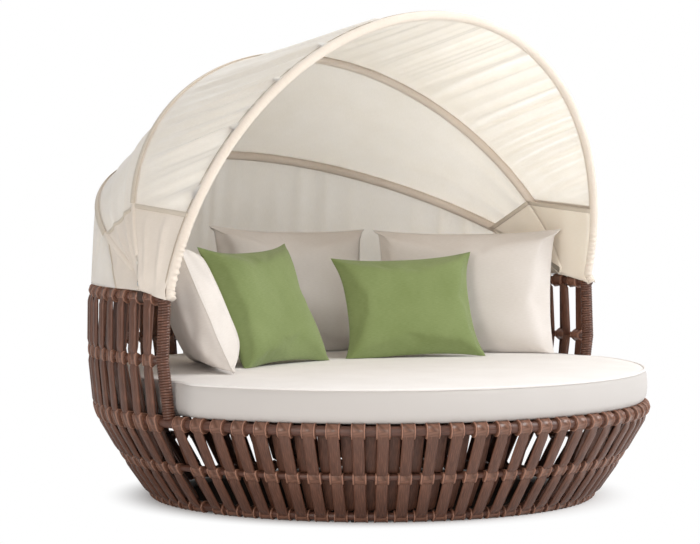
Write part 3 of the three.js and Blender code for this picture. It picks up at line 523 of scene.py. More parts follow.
class RoundRepeat:
    """Geometry Nodes tree that repeats a mesh round a vertical axis at even angles."""

    INPUTS = {
        "Geometry": "Geometry",
        "Count": "Int",
        "Seed": "Int",
        "First Angle": "Float",
        "Pitch Angle": "Float",
        "Axis Y": "Float",
        "Twist Spread": "Float",
        "Material": "Material",
    }

    def __init__(self, axis_y: float) -> None:
        """Builds the tree and its named inputs for an axis at x = 0."""
        self.axis_y = axis_y
        self.tree = tree = bpy.data.node_groups.new("repeat_round_axis", "GeometryNodeTree")
        self.ids = {}
        for name, kind in self.INPUTS.items():
            socket = tree.interface.new_socket(name, in_out="INPUT", socket_type=f"NodeSocket{kind}")
            self.ids[name] = socket.identifier
        tree.interface.new_socket("Geometry", in_out="OUTPUT", socket_type="NodeSocketGeometry")
        start = add_node(tree, "NodeGroupInput").outputs
        line = add_node(tree, "GeometryNodeMeshLine", {"Count": start["Count"], "Offset": (0.0, 0.0, 0.0)})
        index = add_node(tree, "GeometryNodeInputIndex").outputs[0]
        inputs = {0: index, 1: start["Pitch Angle"], 2: start["First Angle"]}
        step = add_node(tree, "ShaderNodeMath", inputs, operation="MULTIPLY_ADD")
        lowest = add_node(tree, "ShaderNodeMath", {0: start["Twist Spread"], 1: -1.0}, operation="MULTIPLY")
        inputs = {2: lowest.outputs[0], 3: start["Twist Spread"], "Seed": start["Seed"]}
        chance = add_node(tree, "FunctionNodeRandomValue", inputs, data_type="FLOAT")
        turn = add_node(tree, "ShaderNodeMath", {0: step.outputs[0], 1: chance.outputs[1]}, operation="ADD")
        spin = add_node(tree, "ShaderNodeCombineXYZ", {"Z": turn.outputs[0]})
        axis = add_node(tree, "ShaderNodeCombineXYZ", {"Y": start["Axis Y"]})
        inputs = {"Geometry": line.outputs[0], "Position": axis.outputs[0]}
        spots = add_node(tree, "GeometryNodeSetPosition", inputs)
        inputs = {"Points": spots.outputs[0], "Instance": start["Geometry"], "Rotation": spin.outputs[0]}
        copies = add_node(tree, "GeometryNodeInstanceOnPoints", inputs)
        real = add_node(tree, "GeometryNodeRealizeInstances", {"Geometry": copies.outputs[0]})
        inputs = {"Geometry": real.outputs[0], "Material": start["Material"]}
        dressed = add_node(tree, "GeometryNodeSetMaterial", inputs)
        add_node(tree, "NodeGroupOutput", {0: dressed.outputs[0]})

    def bake(self, template: Object, run: Run, seed: int = 0, twist: float = 0.0) -> Object:
        """Repeats a template and returns a plain mesh object of the same name.

        Args:
            template: the mesh at the front, with the axis at the origin; it is removed.
            run: how it is repeated.
            seed: for the uneven angles.
            twist: how far an angle may be off, in degrees.

        Returns:
            The finished object at the origin.
        """
        values = {
            "Count": run.count,
            "Seed": seed,
            "First Angle": math.radians(run.first),
            "Pitch Angle": math.radians(run.pitch),
            "Axis Y": self.axis_y,
            "Twist Spread": math.radians(twist),
            "Material": template.data.materials[0],
        }
        repeat = template.modifiers.new("repeat", "NODES")
        repeat.node_group = self.tree
        for name, value in values.items():
            repeat[self.ids[name]] = value
        return bake_modifiers(template)


@dataclass(frozen=True)
class Ring:
    """A steel ring of the barrel: its centre line's radius and height, and its tube's radius."""

    radius: float
    height: float
    tube: float

    @property
    def round_tube(self) -> float:
        """Radius of the round tube that stands for the CAD's many-sided one."""
        thick, thick_share, slim_share = 0.0125, 0.965, 1.13
        return self.tube * (thick_share if self.tube > thick else slim_share)


class CanePoint(NamedTuple):
    """A point of the cane's centre line, and how full the cane is there, from 0 to 1."""

    angle: float
    radius: float
    height: float
    full: float


@dataclass
class Barrel:
    """The laced barrel: rings, flat cane, bindings where the cane crosses the rings, and posts."""

    palette: Palette
    repeat: RoundRepeat
    base: Ring = Ring(0.711, 0.017826, 0.011)
    base_mid: Ring = Ring(0.804, 0.147, 0.009)
    rim: Ring = Ring(0.880, 0.2915, 0.0165)
    wall_mid: Ring = Ring(0.906, 0.481, 0.0095)
    top: Ring = Ring(0.898, 0.670, 0.015)
    cane_width: float = 0.0345
    cane_thickness: float = 0.004
    cane_crown: float = 0.0075
    fit_gap: float = 0.0003
    sway: float = 0.022
    front_straps: int = 35
    front_end: float = 80.75
    back_straps: int = 39
    back_start: float = 88.0
    post_radius: float = 0.020
    post_foot: float = 0.006
    post_head: float = 0.010
    winding_width: float = 0.0085
    winding_proud: float = 0.0016
    binding_width: float = 0.0425
    binding_proud: float = 0.0042

    # Facets where the cane goes right round a ring, and where it only bends over one
    END_STEPS, BEND_STEPS = 8, 2
    # How full the cane is at a distance from a ring, where a binding presses it flat
    FULLNESS = ((0.013, 0.0), (0.022, 0.6), (0.034, 1.0))
    # The cane's upper left: share of the half width, of the half thickness and of the crown
    CANE_EDGE = (
        (-1.0, 0.0, 0.0),
        (-0.985, 0.42, 0.22),
        (-0.93, 0.76, 0.46),
        (-0.76, 0.86, 0.76),
        (-0.44, 0.95, 0.95),
    )
    # Halves of cross-sections: share of the half width, and share by which it stands proud
    WRAP_EDGE = ((1.0, -0.7), (0.97, 0.75), (0.86, 1.0), (0.66, 0.40))
    PLATE_EDGE = ((1.0, -0.9), (0.97, 0.75), (0.80, 1.0), (0.62, 0.35), (0.30, 0.35), (0.14, 0.6))
    WINDING_EDGE = ((0.5, -1.0), (0.44, 0.1), (0.25, 0.85))

    @property
    def front_run(self) -> Run:
        """The straps in front."""
        return Run(self.front_straps, -self.front_end, 2 * self.front_end / (self.front_straps - 1))

    @property
    def back_run(self) -> Run:
        """The straps round the wall."""
        return Run(self.back_straps, self.back_start, (360 - 2 * self.back_start) / (self.back_straps - 1))

    @property
    def post_angle(self) -> float:
        """Angle of the right post from the front, in degrees."""
        return (self.front_end + self.back_start) / 2

    def spot(self, angle: float, radius: float, height: float) -> Vector:
        """A point round the daybed's own axis, the angle in degrees from the front towards +X."""
        turn = math.radians(angle)
        return Vector((radius * math.sin(turn), self.repeat.axis_y - radius * math.cos(turn), height))

    def run_normal(self, start: Ring, end: Ring) -> float:
        """Angle, in the radius and height plane, of the outward normal of cane between two rings."""
        across, up = end.radius - start.radius, end.height - start.height
        lean = math.acos((start.tube - end.tube) / math.hypot(across, up))
        return math.atan2(up, across) + lean

    def turn_corners(self, rings: Sequence[Ring]) -> list[tuple[int, float, float]]:
        """Where one turn of lacing bends round the rings.

        Args:
            rings: from the top ring down to the base ring.

        Returns:
            The stop's number, the radius and the height of each corner, down outside and up inside.
        """
        stops = [*rings, *reversed(rings[1:-1])]
        corners = []
        for i, ring in enumerate(stops):
            first = self.run_normal(stops[i - 1], ring)
            turn = self.run_normal(ring, stops[(i + 1) % len(stops)]) - first
            turn = (turn + math.pi) % FULL_TURN - math.pi
            is_end = ring in (rings[0], rings[-1])
            if is_end and turn > 0:
                turn -= FULL_TURN
            steps = self.END_STEPS if is_end else self.BEND_STEPS
            reach = ring.tube + self.fit_gap + self.cane_thickness / 2
            for k in range(steps + 1):
                angle = first + turn * k / steps
                radius = ring.radius + reach * math.cos(angle)
                corners.append((i, radius, ring.height + reach * math.sin(angle)))
        return corners

    def turn_path(self, rings: Sequence[Ring], pitch: float, outside: bool, inside: bool) -> list[CanePoint]:
        """Centre line of one turn of lacing.

        It goes over the top ring, down outside, under the base ring, and up inside half a pitch on.

        Args:
            rings: from the top ring down to the base ring.
            pitch: degrees between two straps.
            outside: whether the run down outside is included.
            inside: whether the run up inside is included; alone, it stays at one angle.

        Returns:
            Angle, radius, height and fullness of each point in order.
        """
        corners = self.turn_corners(rings)
        down: list[Point] = []
        up: list[Point] = []
        for (stop, r0, z0), (after, r1, z1) in zip(corners, [*corners[1:], corners[0]]):
            line = up if stop > len(rings) - 1 else down
            line.append((r0, z0, 0.0))
            if stop != after:
                line = down if stop < len(rings) - 1 else up
                long = math.hypot(r1 - r0, z1 - z0)
                marks = [*self.FULLNESS, *((long - mark, full) for mark, full in reversed(self.FULLNESS))]
                for mark, full in marks:
                    share = mark / long
                    line.append((r0 + (r1 - r0) * share, z0 + (z1 - z0) * share, full))
        path = [CanePoint(0.0, *spot) for spot in down] if outside else []
        if not inside:
            return path
        inner = [down[-1], *up, down[0]]
        lengths = [0.0]
        for (r0, z0, _), (r1, z1, _) in zip(inner, inner[1:]):
            lengths.append(lengths[-1] + math.hypot(r1 - r0, z1 - z0))
        total = lengths[-1]
        shift = [self.sway * k / 4 for k in range(1, 5)]
        for mark in sorted({*lengths[1:], *shift, *(total - mark for mark in shift)}):
            here = [float(np.interp(mark, lengths, [spot[k] for spot in inner])) for k in range(3)]
            phase = 0.5 * smoothstep(0, self.sway, mark) + 0.5 * smoothstep(total - self.sway, total, mark)
            path.append(CanePoint(phase * pitch if outside else 0.0, *here))
        return path

    def cane_section(self, full: float) -> list[tuple[float, float]]:
        """Cross-section of the cane as width and thickness: flat, or with a full round crown."""
        widening = 0.04
        half, thin = self.cane_width / 2 * (1 + widening * full), self.cane_thickness / 2
        left = self.CANE_EDGE
        upper = [*left, (0.0, 1.0, 1.0), *((-w, flat, rise) for w, flat, rise in reversed(left))]
        lower = [(-w, -flat, 0.0) for w, flat, _ in upper[1:-1:2]]
        crown = full * self.cane_crown
        return [(w * half, flat * thin + rise * crown) for w, flat, rise in [*upper, *lower]]

    def turn_template(self, name: str, path: list[CanePoint]) -> Object:
        """Mesh of one turn of cane at the front, with the axis at the origin.

        Args:
            name: the object's name.
            path: the centre line.

        Returns:
            The template object.
        """
        points = []
        for spot in path:
            turn, radius = math.radians(spot.angle), spot.radius
            points.append(Vector((radius * math.sin(turn), -radius * math.cos(turn), spot.height)))
        rings, uvs = [], []
        travelled = 0.0
        for i, point in enumerate(points):
            ahead = (points[min(i + 1, len(points) - 1)] - points[max(i - 1, 0)]).normalized()
            turn = math.radians(path[i].angle)
            wide = Vector((math.cos(turn), math.sin(turn), 0))
            thick = ahead.cross(wide).normalized()
            if i:
                travelled += (point - points[i - 1]).length
            section = self.cane_section(path[i].full)
            rings.append([point + wide * w + thick * t for w, t in section])
            uvs += [(w, travelled) for w, _ in section]
        return make_skin(name, rings, self.palette.cane, uvs)

    def lace(self, name: str, rings: Sequence[Ring], run: Run) -> Object:
        """Laces a run of straps round the rings.

        Args:
            name: the piece's name.
            rings: from the top ring down.
            run: the straps.

        Returns:
            The finished cane.
        """
        last = run.first + (run.count - 1) * run.pitch
        parts = [
            ("", True, True, Run(run.count - 1, run.first, run.pitch)),
            ("_end", True, False, Run(1, last, run.pitch)),
        ]
        if rings[0] is self.rim:
            # The cane's ends go up inside, beside the posts
            parts.append(("_tails", False, True, Run(2, -self.post_angle, 2 * self.post_angle)))
        made = []
        for part, outside, inside, copies in parts:
            template = self.turn_template(name + part, self.turn_path(rings, run.pitch, outside, inside))
            made.append(self.repeat.bake(template, copies))
        return join_meshes(name, made)

    def bind(self, name: str, ring: Ring, outward: float | None, run: Run) -> Object:
        """Binds the cane to a ring at every strap, with bands whose rolled edges stand proud.

        Args:
            name: the piece's name.
            ring: the ring that is bound.
            outward: the angle at which the strap lies on the ring, or None where it wraps it.
            run: the bindings.

        Returns:
            The finished bindings.
        """
        half = self.binding_width / 2
        edge, around = (self.WRAP_EDGE, 10) if outward is None else (self.PLATE_EDGE, 16)
        profile = [(-w * half, lift) for w, lift in edge] + [(w * half, lift) for w, lift in reversed(edge)]
        cover = ring.tube + self.cane_thickness + 2 * self.fit_gap
        plate_reach, highlight_at, plain_at = 1.36 * cover, 0.0171, 0.008
        rings, uvs = [], []
        for w, lift in profile:
            loop = []
            for i in range(around):
                turn = FULL_TURN * i / around + (outward or 0.0)
                reach = cover
                if outward is not None:
                    # It lies flat over the strap, then closes round the back of the ring
                    facing = math.cos(turn - outward)
                    flat = min(cover / max(facing, 0.1), plate_reach)
                    reach = ring.tube + self.fit_gap + (flat - ring.tube) * smoothstep(-0.25, 0.45, facing)
                reach += self.binding_proud * lift
                radius = ring.radius + reach * math.cos(turn)
                loop.append(Vector((w, -radius, ring.height + reach * math.sin(turn))))
                # On the map, the rolled edges lie where the cane's edges are painted lighter as painted
                # highlight
                uvs.append((highlight_at if lift > 0.7 else plain_at, w + turn * ring.tube))
            rings.append(loop)
        template = make_skin(name, rings, self.palette.binding, uvs)
        return self.repeat.bake(template, run, seed=11, twist=0.05)

    def ring_tube(self, name: str, ring: Ring, start: float = 0.0, end: float = 360.0) -> Object:
        """A round tube along a ring.

        Args:
            name: the piece's name.
            ring: the ring.
            start: first angle in degrees.
            end: last angle in degrees; a full turn makes a closed ring.

        Returns:
            The tube.
        """
        closed = end - start >= 360
        step_angle, sides, radius = 2.5, 12, ring.round_tube
        steps = int(round((end - start) / step_angle))
        rings, uvs = [], []
        for i in range(steps if closed else steps + 1):
            angle = start + (end - start) * i / steps
            loop = []
            for j in range(sides):
                turn = FULL_TURN * j / sides
                out, up = radius * math.cos(turn), radius * math.sin(turn)
                loop.append(self.spot(angle, ring.radius + out, ring.height + up))
                uvs.append((up, math.radians(angle) * ring.radius))
            rings.append(loop)
        return make_skin(name, rings, self.palette.tube, uvs, closed)

    def post_point(self, angle: float, height: float) -> Vector:
        """The point of a post's centre line at a height, the angle in degrees."""
        heights = [self.rim.height + self.rim.tube, self.wall_mid.height, self.top.height - self.top.tube]
        radii = [self.rim.radius, self.wall_mid.radius, self.top.radius]
        return self.spot(angle, float(np.interp(height, heights, radii)), height)

    def wound_post(self, name: str, angle: float) -> Object:
        """A post closely wound with narrow cane, as one spiral.

        Args:
            name: the piece's name.
            angle: the post's angle in degrees.

        Returns:
            The wound post.
        """
        low, high = self.rim.height + self.post_foot, self.top.height + self.post_head
        width, steps = self.winding_width, 20
        count = int((high - low) / width) * steps
        edge = [(-w, lift) for w, lift in self.WINDING_EDGE]
        section = [*edge, (0.0, 1.0), *((-w, lift) for w, lift in reversed(edge))]
        rings, uvs = [], []
        for k in range(count + 1):
            turn = FULL_TURN * k / steps
            middle = low + (high - low - width) * k / count + width / 2
            loop = []
            for w, lift in section:
                height = min(max(middle + w * width, low), high)
                reach = self.post_radius - self.winding_proud + self.winding_proud * lift
                out = Vector((math.cos(turn), math.sin(turn), 0)) * reach
                loop.append(self.post_point(angle, height) + out)
                uvs.append((w * width, turn * self.post_radius))
            rings.append(loop)
        return make_skin(name, rings, self.palette.winding, uvs)

    def dress(self) -> None:
        """Builds every piece of the barrel and puts it in place of its CAD nodes."""
        rings = [self.top, self.wall_mid, self.rim, self.base_mid, self.base]
        front = self.lace("front_cane_lacing", rings[2:], self.front_run)
        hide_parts(*(f"front_weave_{i}" for i in range(1, 6)))
        back = self.lace("wall_cane_lacing", rings, self.back_run)
        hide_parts(*(f"back_weave_{i}" for i in range(1, 9)))
        for piece in (front, back):
            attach(piece, "frame")
        # The wall's mid rail ends at the posts' near sides, and the top rail at their far sides
        post, half = self.post_angle, math.degrees(self.post_radius / self.top.radius)
        far, near = (post - half, 360 - post + half), (post + half, 360 - post - half)
        tubes = {
            "base_ring": self.ring_tube("base_ring_tube", self.base),
            "base_mid_ring": self.ring_tube("base_mid_ring_tube", self.base_mid),
            "seat_rim": self.ring_tube("seat_rim_tube", self.rim),
            "top_rail": self.ring_tube("top_rail_tube", self.top, *far),
            "wall_mid_rail": self.ring_tube("wall_mid_rail_tube", self.wall_mid, *near),
        }
        for node, tube in tubes.items():
            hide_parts(node)
            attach(tube, "frame")
        self.bind_all()
        for side, angle in (("left", -self.post_angle), ("right", self.post_angle)):
            post = self.wound_post(f"{side}_post_winding", angle)
            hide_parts(f"{side}_post")
            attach(post, "frame")
        LOG.info("barrel dressed")

    def bind_all(self) -> None:
        """Makes the bindings of every ring."""
        front, back = self.front_run, self.back_run
        low = self.run_normal(self.rim, self.base_mid)
        wall = self.run_normal(self.wall_mid, self.rim)
        mid_out = (low + self.run_normal(self.base_mid, self.base)) / 2
        wall_out = (self.run_normal(self.top, self.wall_mid) + wall) / 2
        jobs = [
            ("front_rim_bindings", self.rim, None, front),
            ("front_mid_bindings", self.base_mid, mid_out, front),
            ("front_base_bindings", self.base, None, front),
            ("wall_top_bindings", self.top, None, back),
            ("wall_mid_bindings", self.wall_mid, wall_out, back),
            ("wall_rim_bindings", self.rim, (wall + low) / 2, back),
            ("wall_base_mid_bindings", self.base_mid, mid_out, back),
            ("wall_base_bindings", self.base, None, back),
        ]
        for name, ring, outward, run in jobs:
            made = self.bind(name, ring, outward, run)
            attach(made, "frame")


@dataclass(frozen=True)
class HoopShape:
    """Centre line of a hoop: a rounded arch in a plane that leans back from the pivot axis."""

    forward: float
    lift: float
    tilt: float
    half_width: float
    rise: float
    power: float

    def point(self, turn: float, pivot: Vector) -> Vector:
        """The arch's point, from the right foot at 0 to the left foot at pi."""
        across = math.copysign(abs(math.cos(turn)) ** (2 / self.power), math.cos(turn))
        up = self.rise * max(0.0, math.sin(turn)) ** (2 / self.power)
        lean = math.radians(self.tilt)
        back = up * math.sin(lean) - self.forward
        return Vector((self.half_width * across, pivot.y + back, pivot.z + self.lift + up * math.cos(lean)))


class Edge:
    """A line that cloth is held along, measured by its length from its right end."""

    def __init__(self, points: Sequence[Vector]) -> None:
        """Keeps the points and the length up to each."""
        self.points = np.array([tuple(p) for p in points])
        steps = np.linalg.norm(np.diff(self.points, axis=0), axis=1)
        self.marks = np.concatenate([[0.0], np.cumsum(steps)])
        self.length = float(self.marks[-1])

    def at(self, marks: Array) -> Array:
        """Points at the given lengths."""
        return np.stack([np.interp(marks, self.marks, self.points[:, k]) for k in range(3)], axis=1)


class Hold(NamedTuple):
    """How a panel is held along one edge: the double cloth's length at its ends, and its offset."""

    edge: Edge
    corner: float
    offset: float

    def rows(self, spread: Array) -> Array:
        """Lengths for row places from 0 to 3, with the double cloth's ends at 1 and 2."""
        knots = [0.0, self.corner, self.edge.length - self.corner, self.edge.length]
        return np.interp(spread, [0.0, 1.0, 2.0, 3.0], knots)


def ramp(value: Array, length: float) -> Array:
    """Rises evenly from 0 to 1 over a length."""
    return np.clip(value / length, 0, 1)


def crests(phase: Array, sharp: float) -> Array:
    """Rounded crests of height one with flatter valleys between them, one for each unit of phase."""
    return ((1 + np.cos(FULL_TURN * phase)) / 2) ** sharp


def gathers(share: Array, arc: Array) -> Array:
    """Creases of the front panel's double cloth, which run together at the pivot."""
    height = 0.0055
    low = ramp(0.27 - arc, 0.05) * ramp(arc - 0.02, 0.08)
    crest = crests(share * 2.6 + 0.10, 5.0) + 0.6 * crests(share * 1.7 + 0.45, 7.0)
    return height * crest * low * ramp(share, 0.12) * ramp(1 - share, 0.15)


class Folds:
    """Height of each panel's folds, in metres.

    Each takes the rows' places from 0 to 3, the share of the way from the panel's first edge to its
    second, and the length from the nearer end.
    """

    @staticmethod
    def diagonal(_: Array, share: Array, arc: Array) -> Array:
        """Folds that run from low on the middle hoop to high on the front hoop."""
        height, fine_height, valley, slant, spacing, fine_spacing = 0.022, 0.017, 0.008, 0.14, 0.078, 0.034
        start = arc - slant * (1 - share) ** 0.8
        phase = start / spacing + 0.55 * np.sin(start * 9.0 + 0.5)
        uneven = 0.70 + 0.30 * np.sin(start * 31.0 + 1.0)
        fine = 0.22 * crests(start / fine_spacing + 0.8 * np.sin(start * 13.0), 2.0)
        hold = ramp(share, 0.03) * ramp(1 - share, 0.75) ** 0.8
        fade = (0.25 + 0.75 * ramp(1.4 - arc, 0.5)) * ramp(arc - 0.29, 0.05)
        sag = -0.006 * np.sin(math.pi * share) * ramp(arc - 0.25, 0.3)
        folds = height * crests(phase, 1.2) * uneven + fine_height * fine - valley
        return sag + folds * hold * fade + gathers(share, arc)

    @staticmethod
    def tension(_: Array, share: Array, arc: Array) -> Array:
        """A smooth panel with a few long creases that rise from the pivots and fade."""
        height, valley = 0.0075, 0.002
        fade = ramp(1.1 - arc, 0.7) * ramp(arc - 0.04, 0.10)
        hold = ramp(share, 0.12) * ramp(1 - share, 0.12)
        crest = crests(share * 2.7 + 0.25 * np.sin(arc * 4.0), 2.6)
        broad = 0.002 * np.sin(arc * 11.0 + 3.0 * share) * np.sin(math.pi * share)
        return broad + (height * crest - valley) * fade * hold

    @staticmethod
    def hanging(_: Array, share: Array, arc: Array) -> Array:
        """Soft folds that hang from the rear hoop, and fade towards the hem."""
        height, valley, spacing = 0.013, 0.005, 0.088
        phase = arc / spacing + 0.55 * np.sin(arc * 4.1) + 0.3 * share
        uneven = 0.55 + 0.45 * np.sin(arc * 13.0 + 0.7)
        hold = ramp(share, 0.03) * ramp(1 - share, 0.7) ** 0.8
        return (height * crests(phase, 1.5) * uneven - valley) * hold * ramp(arc - 0.12, 0.15)

    @staticmethod
    def calm(spread: Array, share: Array, _: Array) -> Array:
        """Cloth that only sags a little between its edges."""
        sag = 0.004
        near = np.clip(np.minimum(spread, 3.0 - spread), 0, 1)
        return -sag * np.sin(math.pi * share) * np.sin(math.pi * near)


FoldShape = Callable[[Array, Array, Array], Array]


@dataclass(frozen=True)
class PanelPlan:
    """How one panel of the canopy is cut and hung."""

    name: str
    node: str
    hoop: str
    holds: tuple[Hold, Hold]
    folds: FoldShape
    columns: int
    rows: int
    inner: float
    blend: tuple
    flat: tuple[float, float]


@dataclass
class Canopy:
    """The cloth on the three hoops: panels, sleeves, double layers at the pivots, tapes and ties."""

    palette: Palette
    repeat: RoundRepeat
    pivot: Vector
    ties_ring: Ring
    ties_run: Run
    front: HoopShape = HoopShape(0.105, -0.032, -16.0, 0.884, 0.897, 2.0)
    mid: HoopShape = HoopShape(0.0, 0.0, 28.8, 0.893, 0.827, 1.95)
    rear: HoopShape = HoopShape(0.0, 0.0, 65.3, 0.875, 0.950, 2.05)
    hem_tilt: float = 100.0
    hoop_tube: float = 0.0125
    cloth_half: float = 0.0006
    sleeve_wall: float = 0.0026
    hem_height: float = 0.6925
    front_foot: Point = (0.008, -0.015, -0.026)
    hem_radius: float = 0.9125
    pivot_angle: float = 90.42
    bolt_reach: float = 0.021
    nut_reach: float = 0.014
    tape_width: float = 0.0155
    front_corner: float = 0.277
    mid_corner: float = 0.300
    rear_corner: float = 0.365
    hem_corner: float = 0.16

    TAPE_CROWN = (0.0008, 0.0019, 0.0021, 0.0019, 0.0008)

    @property
    def sleeve_radius(self) -> float:
        """Outer radius of the sleeve round a hoop."""
        return self.hoop_tube + self.sleeve_wall

    @property
    def centre(self) -> Array:
        """The middle of the hinge axis."""
        return np.array([0.0, self.pivot.y, self.pivot.z])

    def hoop_edge(self, shape: HoopShape) -> Edge:
        """Centre line of a hoop from hem to hem."""
        arch = [shape.point(float(turn), self.pivot) for turn in np.linspace(0.0, math.pi, 721)]
        above = [p for p in arch if p.z >= self.hem_height]
        for at, foot in ((0, above[0]), (len(above) + 1, above[-1])):
            end = Vector((foot.x, foot.y, self.hem_height))
            if shape.forward:
                out, ahead, up = self.front_foot
                end += Vector((math.copysign(out, foot.x), ahead, up))
            above.insert(at, end)
        return Edge(above)

    def hem_edge(self) -> Edge:
        """The line of the rear panel's hem, round the back just over the rail."""
        line = []
        for angle in np.linspace(self.pivot_angle, 360 - self.pivot_angle, 361):
            turn = math.radians(float(angle))
            back = self.repeat.axis_y - self.hem_radius * math.cos(turn)
            line.append(Vector((self.hem_radius * math.sin(turn), back, self.hem_height)))
        return Edge(line)

    def stand_clear(self, grid: Array, reach: float) -> None:
        """Moves cloth out past the bolt's ends and the post, or in where reach is negative."""
        side, pivot_width = np.sign(grid[..., 0]), 0.055
        ahead, up = grid[..., 1] - self.pivot.y, grid[..., 2] - self.pivot.z
        near_pivot = np.exp(-((np.hypot(ahead, up) / pivot_width) ** 2))
        grid[..., 0] += side * reach * near_pivot
        if reach > 0:
            post_reach, post_ahead, post_width, post_top, fade = 0.013, -0.085, 0.034, 0.02, 0.05
            near_post = np.exp(-(((ahead - post_ahead) / post_width) ** 2))
            grid[..., 0] += side * post_reach * near_post * ramp(post_top - up, fade)

    def surface(
        self, holds: tuple[Hold, Hold], spread: Array, shares: Array, folds: FoldShape, reach: float
    ) -> tuple[Array, Array, Array]:
        """Cloth drawn between two edges over the outer side of what holds it.

        Args:
            holds: how it is held along its two edges.
            spread: the rows' places along both edges.
            shares: the columns' places from the first edge to the second.
            folds: height of the folds.
            reach: how far the cloth stands out over the bolt's ends, or in where it is negative.

        Returns:
            Points and outward normals as grids, and each point's map position.
        """
        first, second = holds
        marks = [hold.rows(spread) for hold in holds]
        a, b = first.edge.at(marks[0]), second.edge.at(marks[1])
        way = b - a
        size = np.maximum((way**2).sum(axis=1, keepdims=True), 1e-6)
        out = a - self.centre
        out = out - way * ((out * way).sum(axis=1, keepdims=True) / size)
        out /= np.linalg.norm(out, axis=1, keepdims=True)
        s = shares[None, :, None]
        offset = first.offset * (1 - s) + second.offset * s
        grid = a[:, None, :] + way[:, None, :] * s + out[:, None, :] * offset
        self.stand_clear(grid, reach)
        normal = np.cross(np.gradient(grid, axis=0), np.gradient(grid, axis=1))
        long = np.linalg.norm(normal, axis=2, keepdims=True)
        outward = grid - self.centre
        outward /= np.linalg.norm(outward, axis=2, keepdims=True)
        normal = np.where(long > 1e-9, normal / np.maximum(long, 1e-9), outward)
        normal *= np.where((normal * outward).sum(axis=2, keepdims=True) < 0, -1.0, 1.0)
        lengths = marks[0][:, None] * (1 - shares[None, :]) + marks[1][:, None] * shares[None, :]
        total = first.edge.length * (1 - shares) + second.edge.length * shares
        arcs = np.minimum(lengths, total[None, :] - lengths)
        height = folds(spread[:, None] + 0 * lengths, shares[None, :] + 0 * lengths, arcs)
        grid = grid + normal * height[..., None]
        wide = np.sqrt(size)[:, 0][:, None] * shares[None, :]
        return grid, normal, np.stack([wide, lengths], axis=2)

    def sheet_piece(
        self,
        name: str,
        cloth: tuple[Array, Array, Array],
        finish: Material,
        double: Array | None = None,
    ) -> Object:
        """A thin closed sheet from a grid of points.

        Args:
            name: the piece's name.
            cloth: points of the cloth's middle, outward normals and map positions.
            finish: its material.
            double: whether the cloth is double, for each row.

        Returns:
            The sheet.
        """
        grid, normal, place = cloth
        rows, columns = grid.shape[:2]
        outer = (grid + normal * self.cloth_half).reshape(-1, 3)
        inner = (grid - normal * self.cloth_half).reshape(-1, 3)
        base = rows * columns
        ids = np.arange(base).reshape(rows, columns)
        top = np.stack([ids[:-1, :-1], ids[1:, :-1], ids[1:, 1:], ids[:-1, 1:]], axis=2).reshape(-1, 4)
        faces = np.concatenate([top, (top + base)[:, ::-1]])
        loop = [*ids[:-1, 0], *ids[-1, :-1], *ids[:0:-1, -1], *ids[0, :0:-1]]
        sides = [(p, q, q + base, p + base) for p, q in zip(loop, [*loop[1:], loop[0]])]
        uvs = np.concatenate([place.reshape(-1, 2)] * 2)
        made = make_piece(name, np.concatenate([outer, inner]), [*faces.tolist(), *sides], finish, uvs)
        if double is not None:
            made.data.materials.append(self.palette.patch)
            for polygon in made.data.polygons:
                polygon.material_index = int(all(double[v % base // columns] for v in polygon.vertices))
        return face_out(made, merge=1e-5)

    def panel(self, plan: PanelPlan) -> tuple[Object, Object, float]:
        """A panel of the canopy with the tapes over the edges of its double cloth.

        Args:
            plan: how it is cut.

        Returns:
            The panel, its tapes and the panel's area in square metres.
        """
        name, gap = f"canopy_{plan.name}_cloth", 0.0015
        ends = np.linspace(0.0, 1.0, 40)
        spread = np.concatenate([ends, np.linspace(1.0 + gap, 2.0 - gap, plan.rows), ends + 2.0])
        shares = np.linspace(0.0, 1.0, plan.columns)
        cloth = self.surface(plan.holds, spread, shares, plan.folds, self.bolt_reach)
        piece = self.sheet_piece(name, cloth, self.palette.canopy, (spread <= 1.0) | (spread >= 2.0))
        across = np.linalg.norm(np.diff(cloth[0], axis=1), axis=2)
        along = np.linalg.norm(np.diff(cloth[0], axis=0), axis=2)
        area = float((0.25 * (across[1:] + across[:-1]) * (along[:, 1:] + along[:, :-1])).sum())
        crown = np.array(self.TAPE_CROWN)[:, None, None] + self.cloth_half
        wide = self.tape_width / plan.holds[0].corner
        tapes = []
        for low in (1.0 - wide, 2.0):
            rows = np.linspace(low, low + wide, len(crown))
            grid, out, place = self.surface(plan.holds, rows, shares, plan.folds, self.bolt_reach)
            taped = (grid + out * crown, out, place)
            tapes.append(self.sheet_piece(f"{name}_tape", taped, self.palette.seam))
        return piece, join_meshes(f"{name}_tapes", tapes), area

    def inner_patch(self, plan: PanelPlan, side: str) -> list[Object]:
        """The inner layer of double cloth at a pivot, between the panel's two edges.

        Args:
            plan: how the panel is cut.
            side: whether it is at the left or the right pivot.

        Returns:
            The patch and the tape along its rim.
        """
        first, second = plan.holds
        inside = self.sleeve_radius + 2 * self.cloth_half
        holds = (first._replace(offset=-inside), second._replace(offset=-plan.inner))
        shares, rim, tape_lift = np.linspace(0.0, 1.0, 13), self.tape_width / first.corner, 0.0018
        made = []
        for part, low, count, lift, finish in (
            ("", 0.0, 24, 0.0, self.palette.lining),
            ("_tape", 1.0 - rim, 4, tape_lift, self.palette.seam),
        ):
            rows = np.linspace(low, 1.0, count)
            rows = 3.0 - rows if side == "left" else rows
            grid, normal, place = self.surface(holds, rows, shares, Folds.calm, -self.nut_reach)
            name = f"{side}_{plan.name}_inner_cloth{part}"
            made.append(self.sheet_piece(name, (grid - normal * lift, normal, place), finish))
        return made

